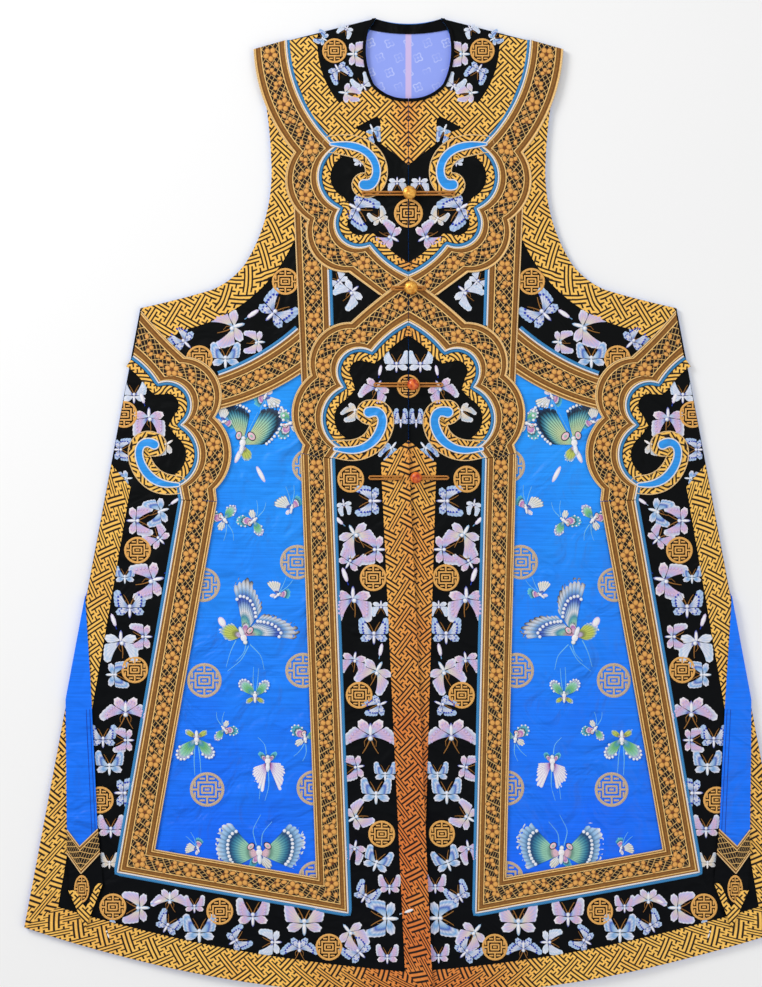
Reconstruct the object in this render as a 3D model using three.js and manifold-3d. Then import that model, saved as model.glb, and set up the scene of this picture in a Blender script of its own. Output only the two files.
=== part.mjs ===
// Long sleeveless court vest with open side vents, laid flat and face up, its two fronts
// meeting edge to edge at the chest and the left-hand one lapping over the other below.
// Millimetres. +Y runs from the hem to the neck, +Z is up, and the back rests on z = 0.
// "left" is the -X side and "right" the +X side, as seen from above.
// Both fronts are cut from one half pattern: x is measured outward from the centre front.

import * as THREE from 'three';
import { mergeVertices } from 'three/addons/utils/BufferGeometryUtils.js';
import Module from 'manifold-3d';

const wasm = await Module();
wasm.setup();

// Driving dimensions.
const HEM_Y = -696;            // lowest point of the hem, at the centre front
const SHOULDER_Y = 696;        // where the shoulder meets the neck
const SEAM_GAP = 0.3;          // clearance between pieces that are sewn together
const BACK_WALL = 1.5;
const PANEL_WALL = 1.2;
const TRIM_WALL = 1.0;
const FRONT_BASE = 3.1;        // underside of a front where it lies closest to the back
const GROUND_LEVEL = PANEL_WALL + SEAM_GAP;               // black satin sewn on a front
const TRIM_LEVEL = GROUND_LEVEL + TRIM_WALL + SEAM_GAP;   // frets and ribbons on the black
const TOP_LEVEL = TRIM_LEVEL + TRIM_WALL + SEAM_GAP;      // scrolls, bindings and straps
const CREST_LEVEL = TOP_LEVEL + TRIM_WALL + SEAM_GAP;     // what lies on a strap
const LAP_RISE = CREST_LEVEL - TRIM_WALL;                 // lifts the lapping front clear
const LAP_TOP_Y = 97;          // the fronts meet above this height and overlap below it
const LEAN = 15;               // how far the right front is turned out at the hem
const LEAN_REACH = 400;
const CHORD_ERROR = 0.4;       // how far the straight steps of an arc may cut inside it
const RIM_NEAR = 6.4;          // fret rim inside a cloud, measured from the ribbon's edge
const RIM_FAR = 17.8;
const RIM_ROUND_SCROLL = 11.4; // width of the fret rim beside a scroll
const CAP_ANGLES = [-90, -45, 0, 45, 90].map((degrees) => THREE.MathUtils.degToRad(degrees));
const LOOP_WIDTH = 5;
const LOOP_WALL = 2;
const FOLD_CLEARANCE = 0.6;    // between a front's side edge and the strap folded round it
const PRISM_BOTTOM = -5;       // upright cutting solids reach past every layer
const PRISM_TOP = 40;

// Lines of nodes on which every front layer bends.
const LAP_RAMP = { startX: -75, endX: -20, startY: 210, endY: LAP_TOP_Y };
const COLUMNS = [
  -605, -525, -445, -365, -285, -205, -125, LAP_RAMP.startX, LAP_RAMP.endX,
  35, 80, 125, 205, 285, 365, 445, 525, 605,
];
const ROWS = [-760, -580, -410, -240, -80, LAP_RAMP.endY, LAP_RAMP.startY, 300, 430, 760];

// Soft swells that run down each front: x at the chest and at the hem, half width, rise.
const SWELLS = [
  { chestX: 210, hemX: 285, halfWidth: 140, rise: 2.2 },
  { chestX: 100, hemX: 110, halfWidth: 60, rise: 0.8 },
];

const COLOURS = {
  blueSatin: 0x2a84ee, blackSatin: 0x17181a, goldFret: 0xd99a48, ribbon: 0x9a6a35,
  scrollBlue: 0x3a94e6, lilac: 0x9a9bee, binding: 0x101012, goldButton: 0xe8a545,
  coralButton: 0xe2571f, cord: 0xc98b3f,
};

// Edges of the half pattern. Each row is x, y and bow, the height of the arc to the next
// row above its chord, positive on the left of the way along.
const NECKLINE = [[46, SHOULDER_Y, 0], [57, 679, 7], [49, 602, 6], [0.5, 582, 0]];
const ARMHOLE = [[220, 652, -5], [195, 494, -12], [232, 347, -4], [279, 310, -1], [381, 284, 0]];
const ARMPIT = ARMHOLE.at(-1);
const HEM_CORNER = [546, -596, 23];
const OPENING = [[-35, HEM_Y, 0], [0.5, LAP_TOP_Y, 0]];
const FRONT = [...NECKLINE.toReversed().map(turnBow), ...ARMHOLE, HEM_CORNER, ...OPENING];
const BACK_HALF = [...ARMHOLE, HEM_CORNER];
const BACK_NECK = [[-46, SHOULDER_Y, -7], [46, SHOULDER_Y, 0]];
const BACK_HEM = [[-546, -596, -88], [546, -596, 0]];
const BACK_LINING = [
  [-46, 690, -7], [46, 690, 0], [68, 640, 0], [62, 575, 0], [0, 552, 0], [-62, 575, 0],
  [-68, 640, 0],
];
const BACK_BINDING = {
  outer: [[-45.5, SHOULDER_Y - 0.5, -8], [45.5, SHOULDER_Y - 0.5, 0]],
  inner: [[-54, 680, -6], [54, 680, 0]],
};

// Ribbons with woven blossoms: the outer and the inner edge, row beside row.
const RIBBONS = {
  chest: {
    outer: [[220, 652, 13], [163, 505, 21], [143, 409, 25], [85, 335, 0], [0.5, 273, 0]],
    inner: [[174, 665, 17], [105, 513, 27], [98, 425, 26], [55, 373, 5], [0.5, 330, 0]],
  },
  mid: {
    outer: [[0.5, 329, 2], [82, 264, 24], [139, 189, 21], [150, 90, 0], [153, 78, 0]],
    inner: [[0.5, 265, 4], [52, 223, 28], [93, 172, 27], [99, 85, 0], [110, 71, 0]],
  },
  window: {
    outer: [[153, 77, 0], [131, -525, -1], [360, -485, 0], [272, 9, 0]],
    inner: [[110, 70, 0], [86, -575, -5], [413, -517, 0], [321, 11, 0]],
  },
  side: {
    outer: [[272, 10, 0], [274, 27, 23], [275, 129, 28], [317, 215, -2], [379.5, 280, 0]],
    inner: [[321, 12, 0], [325, 32, 26], [323, 118, 30], [355, 178, 3], [391, 216, 0]],
  },
  drop: { outer: [[163, 430, 0], [151, 160, 0]], inner: [[117, 430, 0], [109, 160, 0]] },
  arm: { outer: [[140, 271, -13], [300, 180, 0]], inner: [[135, 204, -11], [296, 135, 0]] },
};

// Scrolls inside the three clouds: middle line and width.
const SCROLLS = {
  chest: [
    [110, 517, 4], [86, 516, 9], [65, 511, 9], [50, 498, 9], [44, 481, 9],
    [47, 466, 10], [55, 458, 12], [63, 459, 12],
  ],
  mid: [
    [104, 84, 5], [83, 81, 8], [65, 84, 9], [48, 95, 10], [39, 111, 11],
    [36, 124, 10], [39, 134, 10], [46, 138, 10], [56, 136, 12],
  ],
  side: [
    [327, 33, 5], [346, 33, 8], [363, 40, 10], [376, 54, 10], [383, 71, 9],
    [383, 84, 9], [378, 92, 9], [369, 94, 10], [361, 90, 11],
  ],
};

// Gold fret pieces, drawn a little under the ribbons and then cut back from them.
const YOKE_FRET = [
  [180, 662, 0], [129, 673, 10], [99, 576, 0], [49, 604, 5], [0.5, 584, 0], [0.5, 488, 0],
  [39, 518, 0], [40, 552, 0], [45, 557, 0], [77, 540, 0], [50, 530, 0], [120, 500, 0],
  [140, 560, 0],
];
const ARMHOLE_FRET = [
  ...ARMHOLE, [355, 235, 0], [313, 255, 22], [165, 375, 0], [140, 416, 0], [130, 460, 0],
  [140, 508, 0], [205, 640, 0],
];
const EDGE_FRET = [
  [422, 62, 0], HEM_CORNER, ...OPENING.map(([x, y, bow]) => [x, y === LAP_TOP_Y ? 96 : y, bow]),
  [39, 64, 0], [5, -658, -14], [498, -567, 0], [395, 30, 0],
];
const WINDOW_CORNERS = [
  [130, 238, 0], [215, 190, 0], [288, 160, 0], [300, 100, 0], [296, -10, 0], [386, -500, 0],
  [110, -550, 0], [130, 60, 0], [125, 130, 0], [120, 190, 0],
];

// Streamers: a strap that passes out of the vent, folds round the side edge and lies on
// the front, with a pointed end.
const STRAP_FOLD = { topY: -125, lowY: -273, wall: 1.1 };
const STRAP_LOW = [[485, -470, 0], [465, -497, 0], [441, -470, 0], [450, -273, 0]];
const STRAP_HIDDEN_TOP = [[372, 33, 0], [402, 33, 0]];
const STREAMER_END = [
  [485, -471, 0], [465, -498, 0], [439, -471, 0], [434, -535, 0], [459, -597, 0], [482, -545, 0],
];
const STREAMER_CHEVRON = [
  [485, -457, 0], [467, -481, 0], [441, -456, 0], [438, -490, 0], [465, -519, 0], [485, -490, 0],
];
const STREAMER_TIP = [
  [483, -543, 0], [459, -597, 0], [434, -533, 0], [443, -533, 0], [458, -568, 0], [473, -543, 0],
];

// Buttons on the centre front: place, radius, colour, and how far their cords reach.
const BUTTONS = [
  { x: 1.4, y: 447, radius: 9.5, colour: 'goldButton', reach: 64, level: TOP_LEVEL },
  { x: 3.6, y: 312, radius: 9.5, colour: 'goldButton', reach: 22, level: TOP_LEVEL },
  { x: 6.4, y: 175, radius: 8.2, colour: 'coralButton', reach: 47, level: TRIM_LEVEL },
  { x: 10.7, y: 43, radius: 8.2, colour: 'coralButton', reach: 54, level: TOP_LEVEL },
];

const SIDES = { left: -1, right: 1 };

function turnBow([x, y], index, rows) {
  const next = rows[index + 1];
  return [x, y, next ? -next[2] : 0];
}

/** Places on the arc from one row to the next, without the last. */
function arc([x, y, bow], [nextX, nextY]) {
  const start = new THREE.Vector2(x, y);
  const chord = new THREE.Vector2(nextX - x, nextY - y);
  if (bow === 0) return [start];
  const half = chord.length() / 2;
  const radius = (half * half + bow * bow) / (2 * bow);
  const normal = new THREE.Vector2(-chord.y, chord.x).normalize();
  const centre = start.clone().addScaledVector(chord, 0.5).addScaledVector(normal, bow - radius);
  const sweep = 4 * Math.atan(bow / half);
  const step = 2 * Math.acos(1 - CHORD_ERROR / Math.abs(radius));
  const steps = Math.max(2, Math.ceil(Math.abs(sweep) / step));
  return Array.from({ length: steps }, (_, i) =>
    start.clone().rotateAround(centre, (-sweep * i) / steps));
}

/** An open line through all the rows, arcs included. */
function edgeLine(rows) {
  const last = rows.at(-1);
  const points = rows.slice(0, -1).flatMap((row, i) => arc(row, rows[i + 1]));
  return [...points, new THREE.Vector2(last[0], last[1])];
}

/** A closed outline through all the rows. */
function outline(rows) {
  return rows.flatMap((row, i) => arc(row, rows[(i + 1) % rows.length]));
}

/** A line moved sideways, positive to the left of the way along. */
function movedAside(points, distanceAt, closed = false) {
  const count = points.length;
  return points.map((point, i) => {
    const before = points[closed ? (i + count - 1) % count : Math.max(i - 1, 0)];
    const after = points[closed ? (i + 1) % count : Math.min(i + 1, count - 1)];
    const into = point.clone().sub(before).normalize();
    const out = after.clone().sub(point).normalize();
    if (into.length() === 0) into.copy(out);
    if (out.length() === 0) out.copy(into);
    const along = into.clone().add(out).normalize();
    const mitre = Math.max(along.dot(out), 0.4);
    const normal = new THREE.Vector2(-along.y, along.x);
    return point.clone().addScaledVector(normal, distanceAt(i) / mitre);
  });
}

function grown(points, distance) {
  const outward = THREE.ShapeUtils.isClockWise(points) ? 1 : -1;
  return movedAside(points, () => outward * distance, true);
}

/** The area between two lines that run side by side. */
function between(lineA, lineB) {
  return [...lineA, ...lineB.toReversed()];
}

function ribbonOutline(name) {
  return between(edgeLine(RIBBONS[name].outer), edgeLine(RIBBONS[name].inner));
}

/** A scroll's outline: its middle line widened, with a blunt head. */
function scrollOutline(name) {
  const rows = SCROLLS[name];
  const middle = rows.map(([x, y]) => new THREE.Vector2(x, y));
  const half = rows.map(([, , width]) => width / 2);
  const end = rows.length - 1;
  const heading = middle[end].clone().sub(middle[end - 1]).normalize();
  const left = movedAside(middle, (i) => half[i]);
  const right = movedAside(middle, (i) => -half[i]);
  const nose = middle[end].clone().addScaledVector(heading, half[end]);
  return [...left, nose, ...right.toReversed()];
}

/** Round-ended outlines, one for each stretch of a scroll, that reach extra beyond it. */
function roundsAlong(name, extra) {
  const rows = SCROLLS[name];
  return rows.slice(1).map(([x, y, width], i) => {
    const [startX, startY, startWidth] = rows[i];
    const heading = Math.atan2(y - startY, x - startX);
    const cap = (capX, capY, radius, facing) => CAP_ANGLES.map((angle) => new THREE.Vector2(
      capX + radius * Math.cos(facing + angle), capY + radius * Math.sin(facing + angle)));
    return [
      ...cap(startX, startY, startWidth / 2 + extra, heading + Math.PI),
      ...cap(x, y, width / 2 + extra, heading),
    ];
  });
}

/** From the half pattern to one front, which may lie slightly turned. */
function onSide(points, side) {
  return points.map(({ x, y }) => {
    const drop = THREE.MathUtils.clamp((LAP_TOP_Y - y) / (LAP_TOP_Y - HEM_Y), 0, 1);
    const nearCentre = 1 - Math.min(Math.abs(x) / LEAN_REACH, 1);
    const lean = side === SIDES.right ? LEAN * drop * nearCentre : 0;
    return new THREE.Vector2(side * (x + lean), y);
  });
}

/** How far the fronts stand off their lowest level at a node. */
function crown(x, y) {
  const fall = THREE.MathUtils.clamp((300 - y) / 600, 0, 1);
  const fade = THREE.MathUtils.smoothstep(fall, 0, 0.5);
  return SWELLS.reduce((height, swell) => {
    const middle = THREE.MathUtils.lerp(swell.chestX, swell.hemX, fall);
    const off = Math.min(Math.abs(Math.abs(x) - middle) / swell.halfWidth, 1);
    return height + swell.rise * fade * (1 - off * off * (3 - 2 * off));
  }, 0);
}

/** Extra height of the lapping front, over the band along its opening. */
function lapLift(x, y) {
  const { startX, endX, startY, endY } = LAP_RAMP;
  const across = THREE.MathUtils.clamp((x - startX) / (endX - startX), 0, 1);
  const down = THREE.MathUtils.clamp((startY - y) / (startY - endY), 0, 1);
  return LAP_RISE * across * down;
}

function frontHeight(side, x, y) {
  const lift = side === SIDES.left ? lapLift(x, y) : 0;
  return FRONT_BASE + crown(x, y) + lift;
}

/** Height of a front between its nodes, on the same facets as its layers. */
function heightOn(side, x, y) {
  const column = COLUMNS.findLastIndex((at) => at <= x);
  const row = ROWS.findLastIndex((at) => at <= y);
  const [x0, x1] = [COLUMNS[column], COLUMNS[column + 1]];
  const [y0, y1] = [ROWS[row], ROWS[row + 1]];
  const across = (x - x0) / (x1 - x0);
  const up = (y - y0) / (y1 - y0);
  const low = frontHeight(side, x0, y0);
  const high = frontHeight(side, x1, y1);
  const corner = across > up ? frontHeight(side, x1, y0) : frontHeight(side, x0, y1);
  const [first, second] = across > up ? [across, up] : [up, across];
  return low + (corner - low) * first + (high - corner) * second;
}

function solidOf(geometry) {
  geometry.deleteAttribute('normal');
  geometry.deleteAttribute('uv');
  const merged = mergeVertices(geometry, 1e-4);
  return new wasm.Manifold(new wasm.Mesh({
    numProp: 3,
    vertProperties: new Float32Array(merged.attributes.position.array),
    triVerts: new Uint32Array(merged.index.array),
  }));
}

/** An upright solid on an outline. */
function prism(points, bottom, top) {
  const shape = new THREE.Shape(points);
  const geometry = new THREE.ExtrudeGeometry(shape, { depth: top - bottom, bevelEnabled: false });
  return solidOf(geometry.translate(0, 0, bottom));
}

function cutter(points, side) {
  return prism(onSide(points, side), PRISM_BOTTOM, PRISM_TOP);
}

/** A sheet as large as the garment that follows one front at a level above its base. */
function wideSheet(side, level, wall) {
  const positions = [];
  for (const lift of [level, level + wall]) {
    for (const y of ROWS) {
      for (const x of COLUMNS) positions.push(x, y, frontHeight(side, x, y) + lift);
    }
  }
  const across = COLUMNS.length;
  const layer = across * ROWS.length;
  const index = [];
  for (let row = 0; row < ROWS.length - 1; row += 1) {
    for (let column = 0; column < across - 1; column += 1) {
      const a = row * across + column;
      const [b, c, d] = [a + 1, a + across + 1, a + across];
      index.push(a, c, b, a, d, c);
      index.push(a + layer, b + layer, c + layer, a + layer, c + layer, d + layer);
    }
  }
  const rim = [
    ...COLUMNS.map((_, i) => i),
    ...ROWS.slice(1).map((_, i) => (i + 2) * across - 1),
    ...COLUMNS.slice(1).map((_, i) => layer - 2 - i),
    ...ROWS.slice(1, -1).map((_, i) => (ROWS.length - 2 - i) * across),
  ];
  rim.forEach((a, i) => {
    const b = rim[(i + 1) % rim.length];
    index.push(a, b, b + layer, a, b + layer, a + layer);
  });
  const geometry = new THREE.BufferGeometry();
  geometry.setAttribute('position', new THREE.Float32BufferAttribute(positions, 3));
  geometry.setIndex(index);
  return solidOf(geometry);
}

const sheets = new Map();

function sheetOn(side, level, wall) {
  const key = `${side} ${level} ${wall}`;
  if (!sheets.has(key)) sheets.set(key, wideSheet(side, level, wall));
  return sheets.get(key);
}

function geometryOf(solid) {
  const { numProp, vertProperties, triVerts } = solid.getMesh();
  const geometry = new THREE.BufferGeometry();
  const positions = [];
  for (let i = 0; i < vertProperties.length; i += numProp) {
    positions.push(vertProperties[i], vertProperties[i + 1], vertProperties[i + 2]);
  }
  geometry.setAttribute('position', new THREE.Float32BufferAttribute(positions, 3));
  geometry.setIndex(Array.from(triVerts));
  return geometry;
}

function cloth(name, geometry, colour, roughness = 0.6) {
  const material = new THREE.MeshStandardMaterial({ color: COLOURS[colour], roughness });
  const mesh = new THREE.Mesh(geometry, material);
  mesh.name = name;
  return mesh;
}

/** A piece of cloth on one front: an upright solid cut out of the sheet at its level. */
function piece(name, upright, side, level, colour, wall = TRIM_WALL) {
  return cloth(name, geometryOf(upright.intersect(sheetOn(side, level, wall))), colour);
}

function makeBack() {
  const group = new THREE.Group();
  const half = edgeLine(BACK_HALF);
  const back = [...half.toReversed(), ...half.map(({ x, y }) => new THREE.Vector2(-x, y))];
  const neck = edgeLine(BACK_NECK);
  const hem = edgeLine(BACK_HEM).slice(1, -1);
  const backOutline = [...back, ...hem];
  backOutline.splice(half.length, 0, ...neck.toReversed());
  group.add(cloth('back_panel', geometryOf(prism(backOutline, 0, BACK_WALL)), 'blueSatin'));

  const liningBottom = BACK_WALL + SEAM_GAP;
  const liningTop = liningBottom + TRIM_WALL;
  const lining = prism(outline(BACK_LINING), liningBottom, liningTop);
  group.add(cloth('back_lining', geometryOf(lining), 'lilac'));

  const bindingBottom = liningTop + SEAM_GAP;
  const band = between(edgeLine(BACK_BINDING.outer), edgeLine(BACK_BINDING.inner));
  const binding = prism(band, bindingBottom, bindingBottom + TRIM_WALL);
  group.add(cloth('back_neck_binding', geometryOf(binding), 'binding'));
  return group;
}

/** Upright solids of one front's ribbons, each cut back from those that cross over it. */
function ribbonSolids(side) {
  const whole = (name) => cutter(ribbonOutline(name), side);
  const roomFor = (name) => cutter(grown(ribbonOutline(name), SEAM_GAP), side);
  const front = cutter(outline(FRONT), side);
  const mid = whole('mid');
  const sideCloud = whole('side');
  const chest = whole('chest').subtract(roomFor('mid'));
  const drop = whole('drop').subtract(roomFor('mid')).subtract(roomFor('chest'));
  const arm = whole('arm').subtract(roomFor('drop')).subtract(roomFor('side'))
    .subtract(roomFor('mid'));
  return {
    mid: mid.intersect(front),
    window: whole('window'),
    side: sideCloud.intersect(front),
    chest: chest.intersect(front),
    drop: largest(drop),
    arm: largest(arm),
  };
}

function largest(solid) {
  return solid.decompose().sort((a, b) => b.volume() - a.volume())[0];
}

function ribbonRoom(side) {
  return Object.keys(RIBBONS)
    .map((name) => cutter(grown(ribbonOutline(name), SEAM_GAP), side))
    .reduce((room, solid) => room.add(solid));
}

function bandRoundScroll(name, side, extra) {
  return roundsAlong(name, extra)
    .map((points) => cutter(points, side))
    .reduce((band, solid) => band.add(solid));
}

function rimSolid(name, side, ribbons) {
  const rows = RIBBONS[name].inner.slice(name === 'chest' ? 1 : 0);
  const rimRows = name === 'side' ? rows.slice(1) : rows.slice(0, name === 'mid' ? 4 : undefined);
  const edge = edgeLine(rimRows);
  const near = movedAside(edge, () => -RIM_NEAR);
  const far = movedAside(edge, () => -RIM_FAR);
  const strip = cutter(between(near, far), side);
  const round = bandRoundScroll(name, side, RIM_ROUND_SCROLL);
  const front = cutter(outline(FRONT), side);
  return largest(strip.add(round).subtract(ribbons).intersect(front));
}

function makeFront(sideName) {
  const side = SIDES[sideName];
  const group = new THREE.Group();
  const front = cutter(outline(FRONT), side);
  const ribbons = ribbonSolids(side);
  const room = ribbonRoom(side);
  const allRibbons = Object.values(ribbons).reduce((sum, solid) => sum.add(solid));
  const window = largest(cutter(outline(WINDOW_CORNERS), side).subtract(allRibbons));

  const add = (name, solid, level, colour, wall) =>
    group.add(piece(`${name}_${sideName}`, solid, side, level, colour, wall));
  add('front', front, 0, 'blueSatin', PANEL_WALL);
  add('black_ground', largest(front.subtract(window)), GROUND_LEVEL, 'blackSatin');

  for (const [name, solid] of Object.entries(ribbons)) {
    add(`ribbon_${name}`, solid, TRIM_LEVEL, 'ribbon');
  }
  for (const name of Object.keys(SCROLLS)) {
    add(`rim_${name}`, rimSolid(name, side, room), TRIM_LEVEL, 'goldFret');
    add(`scroll_${name}`, cutter(scrollOutline(name), side), TOP_LEVEL, 'scrollBlue');
  }

  const roundScroll = bandRoundScroll('chest', side, RIM_ROUND_SCROLL + SEAM_GAP);
  const yoke = cutter(outline(YOKE_FRET), side).subtract(room).subtract(roundScroll);
  const armhole = cutter(outline(ARMHOLE_FRET), side).subtract(room);
  add('fret_yoke', largest(yoke.intersect(front)), TRIM_LEVEL, 'goldFret');
  add('fret_armhole', largest(armhole.intersect(front)), TRIM_LEVEL, 'goldFret');
  add('fret_edge', largest(cutter(outline(EDGE_FRET), side).intersect(front)), TRIM_LEVEL,
    'goldFret');

  const neckEdge = edgeLine(NECKLINE);
  const binding = between(neckEdge, movedAside(neckEdge, () => 4.5));
  add('neck_binding', cutter(binding, side).intersect(front), TOP_LEVEL, 'binding');

  BUTTONS.forEach(({ x, y, reach, level }, i) => {
    const edge = y > LAP_TOP_Y ? 1.2 : 5;
    const inner = side === SIDES.left ? Math.min(x, 0) - edge : Math.max(x, 0) + edge;
    const outer = side * reach;
    const cord = [[inner, y - LOOP_WIDTH / 2], [outer, y - LOOP_WIDTH / 2],
      [outer + side * LOOP_WIDTH / 2, y], [outer, y + LOOP_WIDTH / 2], [inner, y + LOOP_WIDTH / 2]];
    const bar = prism(cord.map(([px, py]) => new THREE.Vector2(px, py)), PRISM_BOTTOM, PRISM_TOP);
    add(`cord_${i + 1}`, bar, level, 'cord', LOOP_WALL);
  });
  return group;
}

/** Where the side edge of a front lies at a height, on the half pattern. */
function sideEdgeX(y) {
  const share = (ARMPIT[1] - y) / (ARMPIT[1] - HEM_CORNER[1]);
  return THREE.MathUtils.lerp(ARMPIT[0], HEM_CORNER[0], share);
}

/** The strap's stretches below and on the front, joined by the fold round the side edge. */
function strapSolid(side) {
  const { topY, lowY, wall } = STRAP_FOLD;
  const at = (y, out) => [sideEdgeX(y) + out, y, 0];
  const outside = FOLD_CLEARANCE + wall;
  const fold = outline([at(topY, FOLD_CLEARANCE), at(topY, outside), at(lowY, outside),
    at(lowY, FOLD_CLEARANCE)]);
  const onTop = outline([at(topY, outside), at(lowY, outside), ...STRAP_LOW]);
  const below = outline([at(topY, outside), at(lowY, outside), ...STRAP_HIDDEN_TOP]);
  const bottom = BACK_WALL + SEAM_GAP;
  const topSheet = cutter(onTop, side).intersect(sheetOn(side, TOP_LEVEL, TRIM_WALL));
  const edgeHeight = heightOn(side, side * sideEdgeX(topY), topY);
  const foldTop = edgeHeight + TOP_LEVEL + TRIM_WALL / 2;
  return prism(onSide(fold, side), bottom, foldTop)
    .add(prism(onSide(below, side), bottom, bottom + TRIM_WALL))
    .add(topSheet);
}

function makeStreamer(sideName) {
  const side = SIDES[sideName];
  const group = new THREE.Group();
  group.add(cloth(`streamer_strap_${sideName}`, geometryOf(strapSolid(side)), 'blueSatin'));
  const add = (name, rows, level, colour) => group.add(
    piece(`streamer_${name}_${sideName}`, cutter(outline(rows), side), side, level, colour));
  add('end', STREAMER_END, TOP_LEVEL, 'blackSatin');
  add('chevron', STREAMER_CHEVRON, CREST_LEVEL, 'ribbon');
  add('tip', STREAMER_TIP, CREST_LEVEL, 'goldFret');
  return group;
}

/** Domed buttons that stand on their cords. */
function makeButtons() {
  const group = new THREE.Group();
  BUTTONS.forEach(({ x, y, radius, colour, level }, i) => {
    const profile = [[0, 0], [0.45, 0], [0.92, 0.4], [0.95, 0.9], [0.55, 1.38], [0, 1.5]]
      .map(([out, up]) => new THREE.Vector2(out * radius, up * radius));
    const button = cloth(`button_${i + 1}`, new THREE.LatheGeometry(profile, 14), colour, 0.35);
    button.geometry.rotateX(Math.PI / 2);
    const foot = Math.max(...[-1, 0, 1].flatMap((step) => Object.values(SIDES).map(
      (side) => heightOn(side, x + step * radius, y))));
    button.position.set(x, y, foot + level + LOOP_WALL + SEAM_GAP);
    group.add(button);
  });
  return group;
}

const vest = new THREE.Group();
vest.add(makeBack());
for (const sideName of Object.keys(SIDES)) {
  vest.add(makeFront(sideName));
  vest.add(makeStreamer(sideName));
}
vest.add(makeButtons());

export default vest;
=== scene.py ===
"""Looks of a long sleeveless Chinese court vest that lies flat, face up.

Sizes are in millimetres on a half pattern, x outward from the centre front and y up from the
middle of the garment's length, and become metres where a mesh is written. Both fronts are
made from the one half pattern. Heights come from the same swells as the frame's cloth, with
finer creases added.
"""

from __future__ import annotations

import logging
import math
from collections.abc import Sequence
from dataclasses import dataclass, field
from enum import Enum

import bpy
import numpy as np
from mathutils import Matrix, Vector, geometry

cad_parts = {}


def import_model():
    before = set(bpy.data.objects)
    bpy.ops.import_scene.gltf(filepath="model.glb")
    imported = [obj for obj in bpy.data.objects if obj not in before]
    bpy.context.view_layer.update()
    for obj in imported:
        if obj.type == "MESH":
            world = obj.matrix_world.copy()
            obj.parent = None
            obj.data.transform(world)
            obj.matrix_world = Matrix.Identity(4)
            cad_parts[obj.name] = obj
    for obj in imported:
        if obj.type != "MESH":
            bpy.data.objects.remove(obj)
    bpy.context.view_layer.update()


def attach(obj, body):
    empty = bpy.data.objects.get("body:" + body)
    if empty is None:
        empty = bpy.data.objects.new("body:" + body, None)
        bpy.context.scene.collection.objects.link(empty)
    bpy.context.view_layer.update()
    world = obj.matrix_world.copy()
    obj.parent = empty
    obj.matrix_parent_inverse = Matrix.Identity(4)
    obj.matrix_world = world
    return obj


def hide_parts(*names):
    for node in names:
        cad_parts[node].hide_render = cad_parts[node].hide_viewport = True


LOG = logging.getLogger("vest")
MM = 0.001
TURN = 2 * math.pi

Row = tuple[float, float, float]
Rows = Sequence[Row]
Colour = tuple[float, float, float]
Socket = bpy.types.NodeSocket

# ---------------------------------------------------------------- driving sizes

HEM_Y = -696.0
SHOULDER_Y = 696.0
LAP_TOP_Y = 97.0
LEAN = 15.0
LEAN_REACH = 400.0
FRONT_BASE = 3.1
LAP_RISE = 4.4
LAP_START_X, LAP_END_X, LAP_START_Y = -75.0, -20.0, 210.0
LAP_WIDTH = 35.5
CENTRE_MARGIN, SIDE_MARGIN = 0.9, 0.6
BACK_WALL = 1.5
THIN_WALL = 1.0
FRET_WALL = 0.7
STITCH_WALL = 0.35
ROW_SHARE = 0.87
EDGE_CLEARANCE = 0.45
CLOTH_SMOOTH_ANGLE = 50.0
ROUNDEL_SMOOTH_ANGLE = 40.0
ROUNDEL_RISE, ROUNDEL_DEPTH, ROUNDEL_TOP, ROUNDEL_LIFT = 9.0, 0.2, 0.75, 0.15
FRET_PITCH = 5.15
SCROLL_HALF = 0.68
RIM_NEAR, RIM_FAR, HALO = 6.4, 17.8, 9.8


class Level(float, Enum):
    """Top of each layer of a front, above the height at which the front itself starts."""

    PANEL = 1.2
    GROUND = 2.5
    TRIM = 3.8
    TOP = 5.1
    CREST = 6.4


class Side(int, Enum):
    """Which front a piece is on, as its sign along X."""

    LEFT = -1
    RIGHT = 1

    @property
    def word(self) -> str:
        """The side's name as the frame's nodes spell it."""
        return self.name.lower()


# Long soft swells down each front: x at the chest, x at the hem, half width and rise.
SWELL_TOP_Y, SWELL_FALL, SWELL_GROWTH = 300.0, 600.0, 0.5
SWELLS = ((210, 285, 140, 2.2), (100, 110, 60, 0.8))

# Edges of the half pattern: x, y and bow, the height of the arc to the next row above its
# chord, positive on the left of the way along.
NECKLINE: Rows = [(46, SHOULDER_Y, 0), (57, 679, 7), (49, 602, 6), (0.5, 582, 0)]
ARMHOLE: Rows = [(220, 652, -5), (195, 494, -12), (232, 347, -4), (279, 310, -1), (381, 284, 0)]
HEM_CORNER: Row = (546, -596, 23)
OPENING: Rows = [(-35, HEM_Y, 0), (0.5, LAP_TOP_Y, 0)]
FRONT: Rows = [
    (0.5, 582, -6), (49, 602, -7), (57, 679, 0), (46, SHOULDER_Y, 0), *ARMHOLE, HEM_CORNER, *OPENING,
]
WINDOW: Rows = [
    (130, 238, 0), (215, 190, 0), (288, 160, 0), (300, 100, 0), (296, -10, 0), (386, -500, 0),
    (110, -550, 0), (130, 60, 0), (125, 130, 0), (120, 190, 0),
]
YOKE_FRET: Rows = [
    (180, 662, 0), (129, 673, 10), (99, 576, 0), (51, 599, 5), (0.5, 579, 0), (0.5, 488, 0),
    (39, 518, 0), (40, 552, 0), (45, 557, 0), (77, 540, 0), (50, 530, 0), (120, 500, 0),
    (140, 560, 0),
]
ARMHOLE_FRET: Rows = [
    *ARMHOLE, (355, 235, 0), (313, 255, 22), (165, 375, 0), (140, 416, 0), (130, 460, 0),
    (140, 508, 0), (205, 640, 0),
]


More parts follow.
